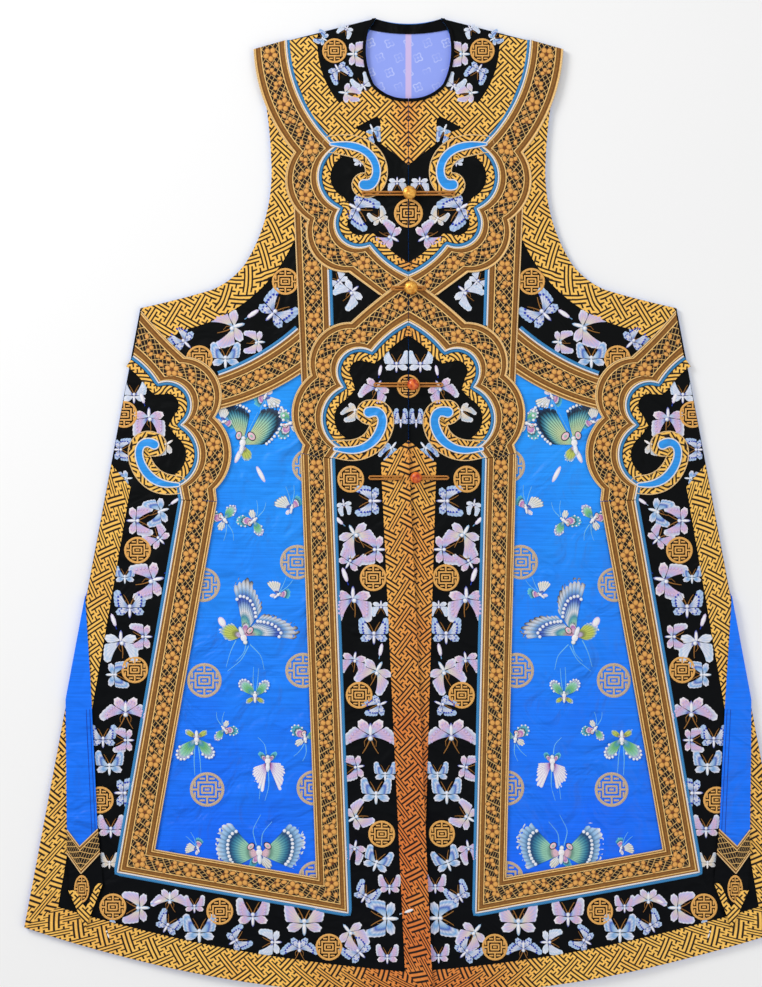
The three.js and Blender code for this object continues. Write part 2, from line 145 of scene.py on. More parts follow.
@dataclass(frozen=True)
class RibbonCut:
    """The two edges of a woven ribbon, row beside row, and how it is laid.

    `inner` is the edge that carries the white and the blue piping.
    """

    outer: Rows
    inner: Rows
    lift: float = 0.0


RIBBONS: dict[str, RibbonCut] = {
    "chest": RibbonCut(
        [(220, 652, 13), (163, 505, 21), (143, 409, 25), (85, 335, 0), (0.5, 273, 0)],
        [(174, 665, 17), (105, 513, 27), (98, 425, 26), (55, 373, 5), (0.5, 330, 0)],
        lift=0.25,
    ),
    "mid": RibbonCut(
        [(0.5, 329, 2), (82, 264, 24), (139, 189, 21), (150, 90, 0), (153, 78, 0)],
        [(0.5, 265, 4), (52, 223, 28), (93, 172, 27), (99, 85, 0), (110, 71, 0)],
        lift=0.55,
    ),
    "window": RibbonCut(
        [(153, 77, 0), (131, -525, 0), (360, -485, 0), (272, 9, 0)],
        [(110, 70, 0), (86, -575, 0), (413, -517, 0), (321, 11, 0)],
    ),
    "side": RibbonCut(
        [(272, 10, 0), (274, 27, 23), (275, 129, 28), (317, 215, -2), (379.5, 280, 0)],
        [(321, 12, 0), (325, 32, 26), (323, 118, 30), (355, 178, 3), (391, 216, 0)],
        lift=0.4,
    ),
    "drop": RibbonCut([(163, 430, 0), (151, 160, 0)], [(117, 430, 0), (109, 160, 0)], lift=-0.1),
    "arm": RibbonCut([(135, 204, -11), (296, 135, 0)], [(140, 271, -13), (300, 180, 0)], lift=-0.25),
}


# Middle line of the scroll in each cloud: x, y and width.
SCROLLS: dict[str, Rows] = {
    "chest": [(110, 517, 4), (86, 516, 9), (65, 511, 9), (50, 498, 9), (44, 481, 9), (47, 466, 10),
              (55, 458, 12), (63, 459, 12)],
    "mid": [(104, 84, 5), (83, 81, 8), (65, 84, 9), (48, 95, 10), (39, 111, 11), (36, 124, 10),
            (39, 134, 10), (46, 138, 10), (56, 136, 12)],
    "side": [(327, 33, 5), (346, 33, 8), (363, 40, 10), (376, 54, 10), (383, 71, 9), (383, 84, 9),
             (378, 92, 9), (369, 94, 10), (361, 90, 11)],
}


@dataclass(frozen=True)
class Crease:
    """A soft fold pressed into a front: its two ends, half width and height."""

    start_x: float
    start_y: float
    end_x: float
    end_y: float
    half_width: float
    height: float


# How every crease is shaped: its sideways bend in millimetres, the share of its length over
# which it fades at each end, how steeply it falls to its sides and what its height is
# multiplied by.
CREASE_BEND, CREASE_END_SHARE, CREASE_SHARPNESS, CREASE_DEPTH = 5.0, 0.35, 1.6, 1.5

# Rows of Crease values.
CREASES: dict[Side, list[tuple[float, ...]]] = {
    Side.LEFT: [
        (150, -330, 262, -352, 11, 1.5), (160, -362, 330, -341, 9, -0.9),
        (175, -392, 300, -420, 12, 1.3), (210, -441, 345, -428, 9, -0.8),
        (160, -470, 250, -455, 9, 1.1), (290, -300, 345, -330, 8, 0.9),
        (170, -270, 235, -288, 9, -0.7), (222, -40, 250, -210, 13, 0.9),
        (440, -180, 470, -420, 14, 1.2), (30, 20, 15, -320, 9, 0.8),
        (60, -560, 220, -600, 12, 1.0), (250, 330, 330, 265, 12, 0.9),
        (330, -560, 470, -575, 14, 1.1), (12, 440, 14, 300, 6, 0.6),
    ],
    Side.RIGHT: [
        (145, -318, 240, -330, 10, 1.2), (190, -350, 325, -372, 12, 1.5),
        (155, -398, 255, -390, 9, -0.9), (240, -415, 350, -440, 10, 1.1),
        (165, -452, 290, -472, 12, 1.2), (280, -285, 340, -300, 8, -0.7),
        (200, -60, 240, -190, 12, 0.8), (455, -120, 500, -470, 15, 1.3),
        (20, -60, -5, -420, 9, 0.7), (70, -600, 240, -590, 11, 1.0),
        (230, 350, 320, 280, 12, 0.8), (350, -545, 480, -590, 14, 1.0),
    ],
}

# ---------------------------------------------------------------- lines and outlines


def arc_points(start: Row, end: Row, step: float) -> list[tuple[float, float]]:
    """Places from one row to the next, without the last.

    Args:
        start: x, y and bow of the first row.
        end: the next row.
        step: the most that two places are apart.

    Returns:
        The places, on a straight line or on an arc as high as the bow.
    """
    x, y, bow = start
    chord = Vector((end[0] - x, end[1] - y))
    if bow == 0:
        steps = max(1, math.ceil(chord.length / step))
        return [(x + chord.x * i / steps, y + chord.y * i / steps) for i in range(steps)]
    half = chord.length / 2
    radius = (half * half + bow * bow) / (2 * bow)
    normal = Vector((-chord.y, chord.x)).normalized()
    centre = Vector((x, y)) + chord / 2 + normal * (bow - radius)
    sweep = 4 * math.atan(bow / half)
    steps = max(2, math.ceil(abs(sweep * radius) / step))
    places = []
    for i in range(steps):
        angle = -sweep * i / steps
        out = Vector((x, y)) - centre
        places.append((
            centre.x + out.x * math.cos(angle) - out.y * math.sin(angle),
            centre.y + out.x * math.sin(angle) + out.y * math.cos(angle),
        ))
    return places


def edge_line(rows: Rows, step: float = 4.0) -> np.ndarray:
    """An open line through all the rows, arcs included."""
    places = [p for a, b in zip(rows, rows[1:]) for p in arc_points(a, b, step)]
    return np.array([*places, rows[-1][:2]], float)


def outline(rows: Rows, step: float = 4.0) -> np.ndarray:
    """A closed outline through all the rows, without its first place repeated."""
    turned = [*rows[1:], rows[0]]
    return np.array([p for a, b in zip(rows, turned) for p in arc_points(a, b, step)], float)


def lengths_along(line: np.ndarray) -> np.ndarray:
    """The distance along a line to each of its places."""
    steps = np.linalg.norm(np.diff(line, axis=0), axis=1)
    return np.concatenate([[0.0], np.cumsum(steps)])


def spaced(line: np.ndarray, count: int) -> np.ndarray:
    """The same line with evenly spaced places."""
    along = lengths_along(line)
    at = np.linspace(0, along[-1], count)
    return np.column_stack([np.interp(at, along, line[:, 0]), np.interp(at, along, line[:, 1])])


def headings(line: np.ndarray) -> np.ndarray:
    """Unit vectors along a line, one at each of its places."""
    way = np.gradient(line, axis=0)
    return way / np.maximum(np.linalg.norm(way, axis=1, keepdims=True), 1e-9)


def moved_aside(line: np.ndarray, distance: float | np.ndarray) -> np.ndarray:
    """A line moved sideways, positive to the left of the way along."""
    way = headings(line)
    normal = np.column_stack([-way[:, 1], way[:, 0]])
    return line + normal * np.reshape(distance, (-1, 1))


def side_by_side(first: Rows, second: Rows, step: float = 4.0) -> tuple[np.ndarray, np.ndarray]:
    """Two edge lines with as many places in each, rows kept beside rows."""
    lines: tuple[list[np.ndarray], list[np.ndarray]] = ([], [])
    for i in range(len(first) - 1):
        pair = [edge_line(rows[i:i + 2], 1.5) for rows in (first, second)]
        count = max(2, math.ceil(max(lengths_along(line)[-1] for line in pair) / step)) + 1
        for kept, line in zip(lines, pair):
            kept.append(spaced(line, count)[0 if i == 0 else 1:])
    return np.concatenate(lines[0]), np.concatenate(lines[1])


def inside(points: np.ndarray, ring: np.ndarray) -> np.ndarray:
    """Which points lie inside a closed outline."""
    within = np.zeros(len(points), bool)
    x, y = points[:, 0], points[:, 1]
    for (ax, ay), (bx, by) in zip(ring, np.roll(ring, -1, axis=0)):
        if ay == by:
            continue
        crosses = ((ay > y) != (by > y)) & (x < (bx - ax) * (y - ay) / (by - ay) + ax)
        within ^= crosses
    return within


# ---------------------------------------------------------------- cloth meshes


def signed_area(ring: np.ndarray) -> float:
    """The area inside an outline, negative where it runs clockwise."""
    x, y = ring[:, 0], ring[:, 1]
    return float(np.dot(x, np.roll(y, -1)) - np.dot(y, np.roll(x, -1))) / 2


@dataclass
class Shell:
    """A flat piece of cloth on the half pattern, before it is laid on a front."""

    points: np.ndarray
    faces: list[tuple[int, ...]]
    uvs: np.ndarray

    def area(self) -> float:
        """The piece's flat area in square millimetres."""
        return sum(abs(signed_area(self.points[list(face)])) for face in self.faces)


def compact(faces: Sequence[Sequence[int]]) -> tuple[np.ndarray, list[tuple[int, ...]]]:
    """The places that some faces use, and the faces numbered by those places."""
    used, turned = np.unique([i for f in faces for i in f], return_inverse=True)
    walk = iter(turned.tolist())
    return used, [tuple(next(walk) for _ in f) for f in faces]


def grid_faces(rows: int, columns: int) -> list[tuple[int, ...]]:
    """The faces of a grid, so many each way, whose places are listed row by row."""
    row = columns + 1
    return [(i * row + j, i * row + j + 1, (i + 1) * row + j + 1, (i + 1) * row + j)
            for i in range(rows) for j in range(columns)]


def filled(rings: Sequence[np.ndarray], holes: Sequence[np.ndarray], inner: np.ndarray,
           guide: np.ndarray | None, merge: float = 1e-4) -> Shell:
    """One piece that fills outlines, which may overlap, and leaves others open.

    Args:
        rings: the outlines that are filled.
        holes: the outlines that are left open.
        inner: places inside that become corners too.
        guide: the line that the weave follows; without one it follows the pattern's axes.
        merge: places closer than this become one.

    Returns:
        The piece, with its weave coordinates in metres.
    """
    links, start = [], 0
    for ring in [*rings, *holes]:
        count = len(ring)
        links += [(start + i, start + (i + 1) % count) for i in range(count)]
        start += count
    points = [Vector(p) for p in np.concatenate([*rings, *holes, inner])]
    found = geometry.delaunay_2d_cdt(points, links, [], 0, merge, False)
    places = np.array([tuple(v) for v in found[0]])
    faces = np.array([tuple(f) for f in found[2]])
    middles = places[faces].mean(axis=1)
    kept = np.zeros(len(faces), bool)
    for ring in rings:
        kept |= inside(middles, ring)
    for hole in holes:
        kept &= ~inside(middles, hole)
    used, cut = compact(faces[kept].tolist())
    places = places[used]
    return Shell(places, cut, (places if guide is None else beside(places, guide)) * MM)


def patch(ring: np.ndarray, holes: Sequence[np.ndarray] = (), spacing: float = 9.0,
          guide: np.ndarray | None = None) -> Shell:
    """A filled outline with evenly spread inner places.

    Args:
        ring: the outline.
        holes: outlines cut out of it.
        spacing: how far apart the inner places are.
        guide: the line that the weave follows; without one it follows the pattern's axes.

    Returns:
        The piece.
    """
    low, high = ring.min(axis=0), ring.max(axis=0)
    columns = np.arange(low[0] + spacing / 2, high[0], spacing)
    rows = np.arange(low[1] + spacing / 2, high[1], spacing * ROW_SHARE)
    grid = np.array([
        (x + (spacing / 2 if i % 2 else 0), y) for i, y in enumerate(rows) for x in columns
    ]).reshape(-1, 2)
    near = np.full(len(grid), np.inf)
    for place in np.concatenate([ring, *holes]):
        near = np.minimum(near, np.hypot(grid[:, 0] - place[0], grid[:, 1] - place[1]))
    keep = inside(grid, ring) & (near > spacing * EDGE_CLEARANCE)
    for hole in holes:
        keep &= ~inside(grid, hole)
    return filled([ring], holes, grid[keep], guide)


def beside(points: np.ndarray, guide: np.ndarray) -> np.ndarray:
    """Each point's distance along a guide line and to the side of it."""
    along = lengths_along(guide)
    best = np.full(len(points), np.inf)
    result = np.zeros((len(points), 2))
    last = len(guide) - 2
    for i, (a, b) in enumerate(zip(guide, guide[1:])):
        way = b - a
        length = np.linalg.norm(way)
        way = way / length
        off = points - a
        forward = off @ way
        low = -np.inf if i == 0 else 0.0
        high = np.inf if i == last else length
        clamped = np.clip(forward, low, high)
        aside = way[0] * off[:, 1] - way[1] * off[:, 0]
        distance = np.hypot(forward - clamped, aside)
        closer = distance < best
        best[closer] = distance[closer]
        result[closer, 0] = along[i] + clamped[closer]
        result[closer, 1] = aside[closer]
    return result


def strip(first: np.ndarray, second: np.ndarray, across: int = 8) -> Shell:
    """Cloth ruled between two lines that run side by side.

    Args:
        first: one edge line.
        second: the other, with as many places.
        across: how many faces lie between them.

    Returns:
        The piece; its weave coordinates run along its middle and across its true width.
    """
    middle = lengths_along((first + second) / 2)
    width = np.median(np.linalg.norm(second - first, axis=1))
    points, uvs = [], []
    for i in range(len(first)):
        for share in np.linspace(0, 1, across + 1):
            points.append(first[i] * (1 - share) + second[i] * share)
            uvs.append((middle[i], (share - 0.5) * width))
    return Shell(np.array(points), grid_faces(len(first) - 1, across), np.array(uvs) * MM)


class FrontSurface:
    """The shape in which one front lies, and the places on it."""

    def __init__(self, side: Side) -> None:
        """Remember which front this is."""
        self.side = side

    def across(self, points: np.ndarray) -> np.ndarray:
        """World x of places on the half pattern, in millimetres."""
        x, y = points[:, 0], points[:, 1]
        if self.side is Side.LEFT:
            return -x
        drop = np.clip((LAP_TOP_Y - y) / (LAP_TOP_Y - HEM_Y), 0, 1)
        near_centre = 1 - np.minimum(np.abs(x) / LEAN_REACH, 1)
        return x + LEAN * drop * near_centre

    def height(self, points: np.ndarray) -> np.ndarray:
        """How high the front's underside lies at places on the half pattern."""
        x, y = self.across(points), points[:, 1]
        fall = np.clip((SWELL_TOP_Y - y) / SWELL_FALL, 0, 1)
        share = np.clip(fall / SWELL_GROWTH, 0, 1)
        fade = share * share * (3 - 2 * share)
        height = np.full(len(points), FRONT_BASE)
        for chest_x, hem_x, half_width, rise in SWELLS:
            middle = chest_x + (hem_x - chest_x) * fall
            off = np.minimum(np.abs(np.abs(x) - middle) / half_width, 1)
            height += rise * fade * (1 - off * off * (3 - 2 * off))
        if self.side is Side.LEFT:
            over = np.clip((x - LAP_START_X) / (LAP_END_X - LAP_START_X), 0, 1)
            down = np.clip((LAP_START_Y - y) / (LAP_START_Y - LAP_TOP_Y), 0, 1)
            height += LAP_RISE * over * down
        return height + self.creased(points) + self.rippled(x, y)

    def creased(self, points: np.ndarray) -> np.ndarray:
        """The creases' share of the height."""
        total = np.zeros(len(points))
        for crease in (Crease(*row) for row in CREASES[self.side]):
            start = np.array((crease.start_x, crease.start_y))
            way = np.array((crease.end_x, crease.end_y)) - start
            length = np.linalg.norm(way)
            way = way / length
            off = points - start
            along = off @ way / length
            bend = CREASE_BEND * np.sin(along * math.pi * 1.5)
            aside = np.abs(way[0] * off[:, 1] - way[1] * off[:, 0] + bend) / crease.half_width
            ends = np.clip(np.minimum(along, 1 - along) / CREASE_END_SHARE, 0, 1)
            fall_off = np.exp(-aside * aside * CREASE_SHARPNESS)
            total += CREASE_DEPTH * crease.height * ends * fall_off
        return total

    @staticmethod
    def rippled(x: np.ndarray, y: np.ndarray) -> np.ndarray:
        """A slight unevenness all over, so that no stretch is dead flat."""
        slow = np.sin(x * 0.031 + y * 0.019) * np.sin(y * 0.023 - x * 0.012)
        quick = np.sin(x * 0.083 - y * 0.052 + 1.3) * np.sin(y * 0.071 + x * 0.02)
        return 0.3 * slow + 0.16 * quick

    def place(self, points: np.ndarray, lift: float | np.ndarray) -> np.ndarray:
        """World places in metres, at a height above the front's underside."""
        return np.column_stack([
            self.across(points), points[:, 1], self.height(points) + lift,
        ]) * MM


class FlatSurface(FrontSurface):
    """A level surface for the pieces that lie under the fronts."""

    def __init__(self) -> None:
        """A flat surface has the half pattern's own x."""
        super().__init__(Side.RIGHT)

    def across(self, points: np.ndarray) -> np.ndarray:
        """World x is the pattern's x."""
        return points[:, 0]

    def height(self, points: np.ndarray) -> np.ndarray:
        """No height of its own."""
        return np.zeros(len(points))


def ring_edges(faces: Sequence[Sequence[int]]) -> list[tuple[int, int]]:
    """The edges that only one face uses, in that face's direction."""
    used = {(f[i], f[(i + 1) % len(f)]) for f in faces for i in range(len(f))}
    return [(a, b) for a, b in sorted(used) if (b, a) not in used]


def new_object(name: str, places: np.ndarray, faces: Sequence[Sequence[int]], uvs: np.ndarray,
               material: bpy.types.Material, smooth_angle: float) -> bpy.types.Object:
    """A mesh object in the scene, with its weave coordinates and its finish.

    Args:
        name: its name.
        places: its vertices, in metres.
        faces: its faces.
        uvs: weave coordinates, one for each vertex.
        material: its finish.
        smooth_angle: edges sharper than this many degrees stay sharp.

    Returns:
        The new object.
    """
    mesh = bpy.data.meshes.new(name)
    mesh.from_pydata(places.tolist(), [], faces)
    mesh.update()
    corner = np.empty(len(mesh.loops), np.int32)
    mesh.loops.foreach_get("vertex_index", corner)
    layer = mesh.uv_layers.new(name="Weave")
    layer.data.foreach_set("uv", uvs[corner].astype(np.float32).ravel())
    mesh.polygons.foreach_set("use_smooth", np.ones(len(mesh.polygons), bool))
    mesh.set_sharp_from_angle(angle=math.radians(smooth_angle))
    mesh.materials.append(material)
    thing = bpy.data.objects.new(name, mesh)
    bpy.context.scene.collection.objects.link(thing)
    return thing


def write_mesh(name: str, top: np.ndarray, faces: Sequence[Sequence[int]], uvs: np.ndarray,
               drop: float, material: bpy.types.Material, tints: np.ndarray | None = None,
               closed: bool = True) -> bpy.types.Object:
    """A piece from its top side: the rim and the underside are added.

    Args:
        name: the object's name.
        top: places of the top side, in metres.
        faces: faces of the top side.
        uvs: weave coordinates, one for each place.
        drop: how thick the piece is, in metres.
        material: its finish.
        tints: colours, one for each place, for embroidery.
        closed: whether the underside is made; stitches sewn to a cloth have none.

    Returns:
        The new object.
    """
    count = len(top)
    first = top[list(faces[0])]
    if np.cross(first[1] - first[0], first[2] - first[0])[2] < 0:
        faces = [tuple(reversed(f)) for f in faces]
    low = top.copy()
    low[:, 2] -= drop
    rim = [(b, a, a + count, b + count) for a, b in ring_edges(faces)]
    under = [tuple(i + count for i in reversed(f)) for f in faces] if closed else []
    used, whole = compact([*faces, *under, *rim])
    thing = new_object(name, np.concatenate([top, low])[used], whole,
                       np.concatenate([uvs, uvs])[used], material, CLOTH_SMOOTH_ANGLE)
    if tints is not None:
        tint = thing.data.color_attributes.new("Tint", "FLOAT_COLOR", "POINT")
        rgba = np.concatenate([tints, np.ones((count, 1))], axis=1)
        rgba = np.concatenate([rgba, rgba])[used]
        tint.data.foreach_set("color", rgba.astype(np.float32).ravel())
    return thing


def lay(name: str, shell: Shell, surface: FrontSurface, level: float, wall: float,
        material: bpy.types.Material) -> bpy.types.Object:
    """Lay a piece of cloth on a surface.

    Args:
        name: the object's name.
        shell: the flat piece.
        surface: what it lies on.
        level: its top, in millimetres above the surface.
        wall: its thickness in millimetres.
        material: its finish.

    Returns:
        The new object.
    """
    top = surface.place(shell.points, level)
    return write_mesh(name, top, shell.faces, shell.uvs, wall * MM, material)


# ---------------------------------------------------------------- node groups


def linear(red: float, green: float, blue: float) -> Colour:
    """A colour given in display values from 0 to 255, as light."""
    def one(value: float) -> float:
        """One channel of it."""
        share = value / 255
        return share / 12.92 if share <= 0.04045 else ((share + 0.055) / 1.055) ** 2.4

    return one(red), one(green), one(blue)


class Number:
    """A number worked out in a node tree; the usual signs add the Math nodes."""

    def __init__(self, sketch: Sketch, socket: Socket) -> None:
        """Remember where it comes from."""
        self.sketch = sketch
        self.socket = socket

    def __add__(self, other: object) -> Number:
        """The sum of two numbers."""
        return self.sketch.math("ADD", self, other)

    def __sub__(self, other: object) -> Number:
        """The difference of two numbers."""
        return self.sketch.math("SUBTRACT", self, other)

    def __mul__(self, other: object) -> Number:
        """The product of two numbers."""
        return self.sketch.math("MULTIPLY", self, other)

    def __truediv__(self, other: object) -> Number:
        """The quotient of two numbers."""
        return self.sketch.math("DIVIDE", self, other)

    def __abs__(self) -> Number:
        """The number without its sign."""
        return self.sketch.math("ABSOLUTE", self)

    def wave(self, length: object) -> Number:
        """The sine wave of a length along the number."""
        return self.sketch.math("SINE", self / length * TURN)

    def spread(self, low: float, high: float, start: float = 0.0, end: float = 1.0) -> Number:
        """The number spread from one range to another, and held at its ends."""
        inputs = {0: self, 1: low, 2: high, 3: start, 4: end}
        return Number(self.sketch, self.sketch.node("MapRange", inputs, clamp=True).outputs[0])


class Sketch:
    """A node tree with short calls for the nodes that this script uses."""

    def __init__(self, tree: bpy.types.NodeTree) -> None:
        """Work on a tree."""
        self.tree = tree

    def node(self, kind: str, inputs: dict[str | int, object] | None = None,
             **settings: object) -> bpy.types.Node:
        """Add a node.

        Args:
            kind: its type, without the "ShaderNode" that starts every such name.
            inputs: a value or a socket for each input named.
            settings: the node's own properties.

        Returns:
            The node.
        """
        made = self.tree.nodes.new(f"ShaderNode{kind}")
        for key, value in settings.items():
            setattr(made, key, value)
        for key, value in (inputs or {}).items():
            self.feed(made.inputs[key], value)
        return made

    def feed(self, target: Socket, value: object) -> None:
        """Give an input a number or socket to read, or a value of its own."""
        if isinstance(value, Number):
            value = value.socket
        if isinstance(value, bpy.types.NodeSocket):
            self.tree.links.new(value, target)
        elif isinstance(value, tuple) and len(value) == 3 and target.type == "RGBA":
            target.default_value = (*value, 1)
        else:
            target.default_value = value

    def math(self, operation: str, *values: object, clamp: bool = False) -> Number:
        """The result of a Math node."""
        inputs = dict(enumerate(values))
        made = self.node("Math", inputs, operation=operation, use_clamp=clamp)
        return Number(self, made.outputs[0])

    def mix(self, share: object, first: object, second: object) -> Socket:
        """A colour between two others."""
        inputs = {0: share, 6: first, 7: second}
        return self.node("Mix", inputs, data_type="RGBA").outputs[2]

    def shaded(self, colour: object, value: Number) -> Socket:
        """A colour made lighter or darker."""
        return self.node("HueSaturation", {"Color": colour, "Value": value}).outputs[0]

    def noise(self, place: Socket, scale: float, detail: float, **more: float) -> Number:
        """Soft noise about one half; further inputs go by their names."""
        inputs = {"Vector": place, "Scale": scale, "Detail": detail}
        inputs |= {key.title(): value for key, value in more.items()}
        return Number(self, self.node("TexNoise", inputs).outputs[0])

    def parts(self, vector: Socket) -> tuple[Number, Number]:
        """A vector's first two numbers."""
        split = self.node("SeparateXYZ", {0: vector})
        return Number(self, split.outputs[0]), Number(self, split.outputs[1])

    def group(self, tree: bpy.types.NodeTree, inputs: dict[str, object]) -> list[Number]:
        """Place a node group and return what it puts out."""
        made = self.tree.nodes.new("ShaderNodeGroup")
        made.node_tree = tree
        for key, value in inputs.items():
            self.feed(made.inputs[key], value)
        return [Number(self, socket) for socket in made.outputs]


def new_group(name: str, inputs: dict[str, float], outputs: Sequence[str]
              ) -> tuple[Sketch, list[Number], bpy.types.Node]:
    """An empty node group with number sockets.

    Args:
        name: the group's name.
        inputs: each input's name and the value it has unless it is fed.
        outputs: each output's name.

    Returns:
        The group to draw in, its inputs and its output node.
    """
    tree = bpy.data.node_groups.new(name, "ShaderNodeTree")
    for key, value in inputs.items():
        socket = tree.interface.new_socket(key, in_out="INPUT", socket_type="NodeSocketFloat")
        socket.default_value = value
    for key in outputs:
        tree.interface.new_socket(key, in_out="OUTPUT", socket_type="NodeSocketFloat")
    sketch = Sketch(tree)
    given = tree.nodes.new("NodeGroupInput")
    numbers = [Number(sketch, given.outputs[key]) for key in inputs]
    return sketch, numbers, tree.nodes.new("NodeGroupOutput")


# The strokes of one key of the fret within its upper quarter, in steps of its pitch:
# middle x, middle y, half width, half height.
FRET_STROKES = [
    (0.0, 0.5, 0.33, 0.83), (-0.5, 1.0, 0.83, 0.33), (-1.0, 1.5, 0.33, 0.83),
    (0.5, 2.0, 1.83, 0.33), (-2.0, 2.3, 0.33, 0.63), (1.0, 1.0, 0.33, 0.33),
]
FRET_STEPS = 5.0


def fret_group() -> bpy.types.NodeTree:
    """The woven fret: hooked keys on the slant, each the mirror image of its neighbours."""
    sketch, (along, across, pitch), made = new_group(
        "WovenFret", {"Along": 0, "Across": 0, "Pitch": FRET_PITCH * MM}, ["Gold", "Thread"])
    size = pitch * math.sqrt(2)
    folded = []
    for slant in (along + across, along - across):
        wave = sketch.math("PINGPONG", slant / size + FRET_STEPS / 2, FRET_STEPS)
        folded.append(wave - FRET_STEPS / 2)
    a, b = folded
    wide, tall = abs(a), abs(b)
    sideways = sketch.math("GREATER_THAN", wide, tall)
    upright_x = a * sketch.math("SIGN", b)
    lying_x = b * -1.0 * sketch.math("SIGN", a)
    x = upright_x + sideways * (lying_x - upright_x)
    y = sketch.math("MAXIMUM", wide, tall)
    nearest: Number | None = None
    for middle_x, middle_y, half_x, half_y in FRET_STROKES:
        off = sketch.math("MAXIMUM", abs(x - middle_x) - half_x, abs(y - middle_y) - half_y)
        nearest = off if nearest is None else sketch.math("MINIMUM", nearest, off)
    sketch.feed(made.inputs["Gold"], nearest.spread(-0.11, 0.01, 1.0, 0.0))
    sketch.feed(made.inputs["Thread"], along.wave(0.9 * MM))
    return sketch.tree


def weave_group() -> bpy.types.NodeTree:
    """Fine crossing threads: a height from 0 to 1."""
    sketch, (x, y, thread), made = new_group(
        "FineWeave", {"X": 0, "Y": 0, "Thread": 0.6 * MM}, ["Height"])
    total = x.wave(thread) + y.wave(thread)
    sketch.feed(made.inputs["Height"], total.spread(-2, 2))
    return sketch.tree


class Groups:
    """The node groups that several finishes use, each built once."""

    def __init__(self) -> None:
        """Build them."""
        self.fret = fret_group()
        self.weave = weave_group()


def new_material(name: str) -> tuple[bpy.types.Material, Sketch, bpy.types.Node]:
    """An empty material with its node tree and its shader."""
    material = bpy.data.materials.new(name)
    material.use_nodes = True
    return material, Sketch(material.node_tree), material.node_tree.nodes["Principled BSDF"]


@dataclass(frozen=True)
class Cloth:
    """What every cloth finish has: a name, a gloss and a sheen."""

    name: str
    roughness: float = 0.55
    sheen: float = 0.0
    bump_height: float = 0.12
    gloss: float = 0.22

    def begin(self) -> tuple[bpy.types.Material, Sketch, bpy.types.Node]:
        """A new material with its shader, and the numbers that are the same all over."""
        material, sketch, shader = new_material(self.name)
        shader.inputs["Roughness"].default_value = self.roughness
        shader.inputs["Sheen Weight"].default_value = self.sheen
        shader.inputs["Sheen Roughness"].default_value = 0.4
        shader.inputs["Specular IOR Level"].default_value = self.gloss
        return material, sketch, shader

    def bump(self, sketch: Sketch, shader: bpy.types.Node, height: Number,
             strength: float) -> None:
        """Let a height shape the shading."""
        node = sketch.node("Bump", {"Strength": strength, "Distance": self.bump_height * MM,
                                    "Height": height})
        sketch.feed(shader.inputs["Normal"], node.outputs[0])


@dataclass(frozen=True)
class Satin(Cloth):
    """Silk satin whose colour deepens from the top of the garment to the hem."""

    top: Colour = (0.0, 0.0, 0.0)
    low: Colour = (0.0, 0.0, 0.0)
    mottle: float = 0.12
    gloss_change: float = 0.07
    crumple_depth: float = 26.0

    def material(self, groups: Groups) -> bpy.types.Material:
        """Build the finish."""
        material, sketch, shader = self.begin()
        place = sketch.node("TexCoord").outputs["Object"]
        x, y = sketch.parts(place)
        slub = sketch.node("Mapping", {"Vector": place, "Scale": (14.0, 420.0, 1.0)}).outputs[0]
        streak = sketch.noise(slub, 1.0, 2.0)
        cloud = (sketch.noise(place, 9.0, 3.0) - 0.5) * 0.5
        share = sketch.math("ADD", y.spread(0.16, -0.5), cloud, clamp=True)
        light = streak.spread(0.3, 0.7, 1 - self.mottle, 1 + self.mottle)
        tone = sketch.shaded(sketch.mix(share, self.top, self.low), light)
        sketch.feed(shader.inputs["Base Color"], tone)
        rough = streak.spread(0.3, 0.7, self.roughness - self.gloss_change,
                              self.roughness + self.gloss_change)
        sketch.feed(shader.inputs["Roughness"], rough)
        weave, = sketch.group(groups.weave, {"X": x, "Y": y, "Thread": 0.7 * MM})
        bent = sketch.noise(place, 17.0, 2.0, roughness=0.45, distortion=1.4)
        crumple = sketch.node("Bump", {"Strength": 0.5, "Distance": self.crumple_depth * MM,
                                       "Height": bent})
        fine = sketch.node("Bump", {"Strength": 0.4, "Distance": self.bump_height * MM,
                                    "Height": weave * 0.35 + streak,
                                    "Normal": crumple.outputs[0]})
        sketch.feed(shader.inputs["Normal"], fine.outputs[0])
        return material


@dataclass(frozen=True)
class FretSilk(Cloth):
    """Gold fret on a dark ground, redder near the centre front and towards the hem."""

    gold: Colour = linear(255, 200, 96)
    warm_gold: Colour = linear(226, 124, 56)
    ground: Colour = linear(26, 12, 8)

    def material(self, groups: Groups) -> bpy.types.Material:
        """Build the finish."""
        material, sketch, shader = self.begin()
        coordinates = sketch.node("TexCoord")
        place = coordinates.outputs["Object"]
        along, across = sketch.parts(coordinates.outputs["UV"])
        stroke, thread = sketch.group(groups.fret, {"Along": along, "Across": across,
                                                    "Pitch": FRET_PITCH * MM})
        x, y = sketch.parts(place)
        centre = abs(x - 0.01).spread(0.02, 0.2, 1.0, 0.0)
        low = y.spread(0.2, -0.45, 0.1, 1.0)
        seam = abs(x).spread(0.0, 0.03, 0.55, 0.0)
        cloud = (sketch.noise(place, 11.0, 4.0) - 0.5) * 0.9
        warm = sketch.math("ADD", sketch.math("MAXIMUM", centre * low, seam), cloud, clamp=True)
        light = sketch.noise(place, 420.0, 2.0).spread(0.3, 0.7, 0.86, 1.1)
        tone = sketch.shaded(sketch.mix(warm, self.gold, self.warm_gold), light)
        sketch.feed(shader.inputs["Base Color"], sketch.mix(stroke, self.ground, tone))
        self.bump(sketch, shader, stroke + thread * 0.12, 0.7)
        return material


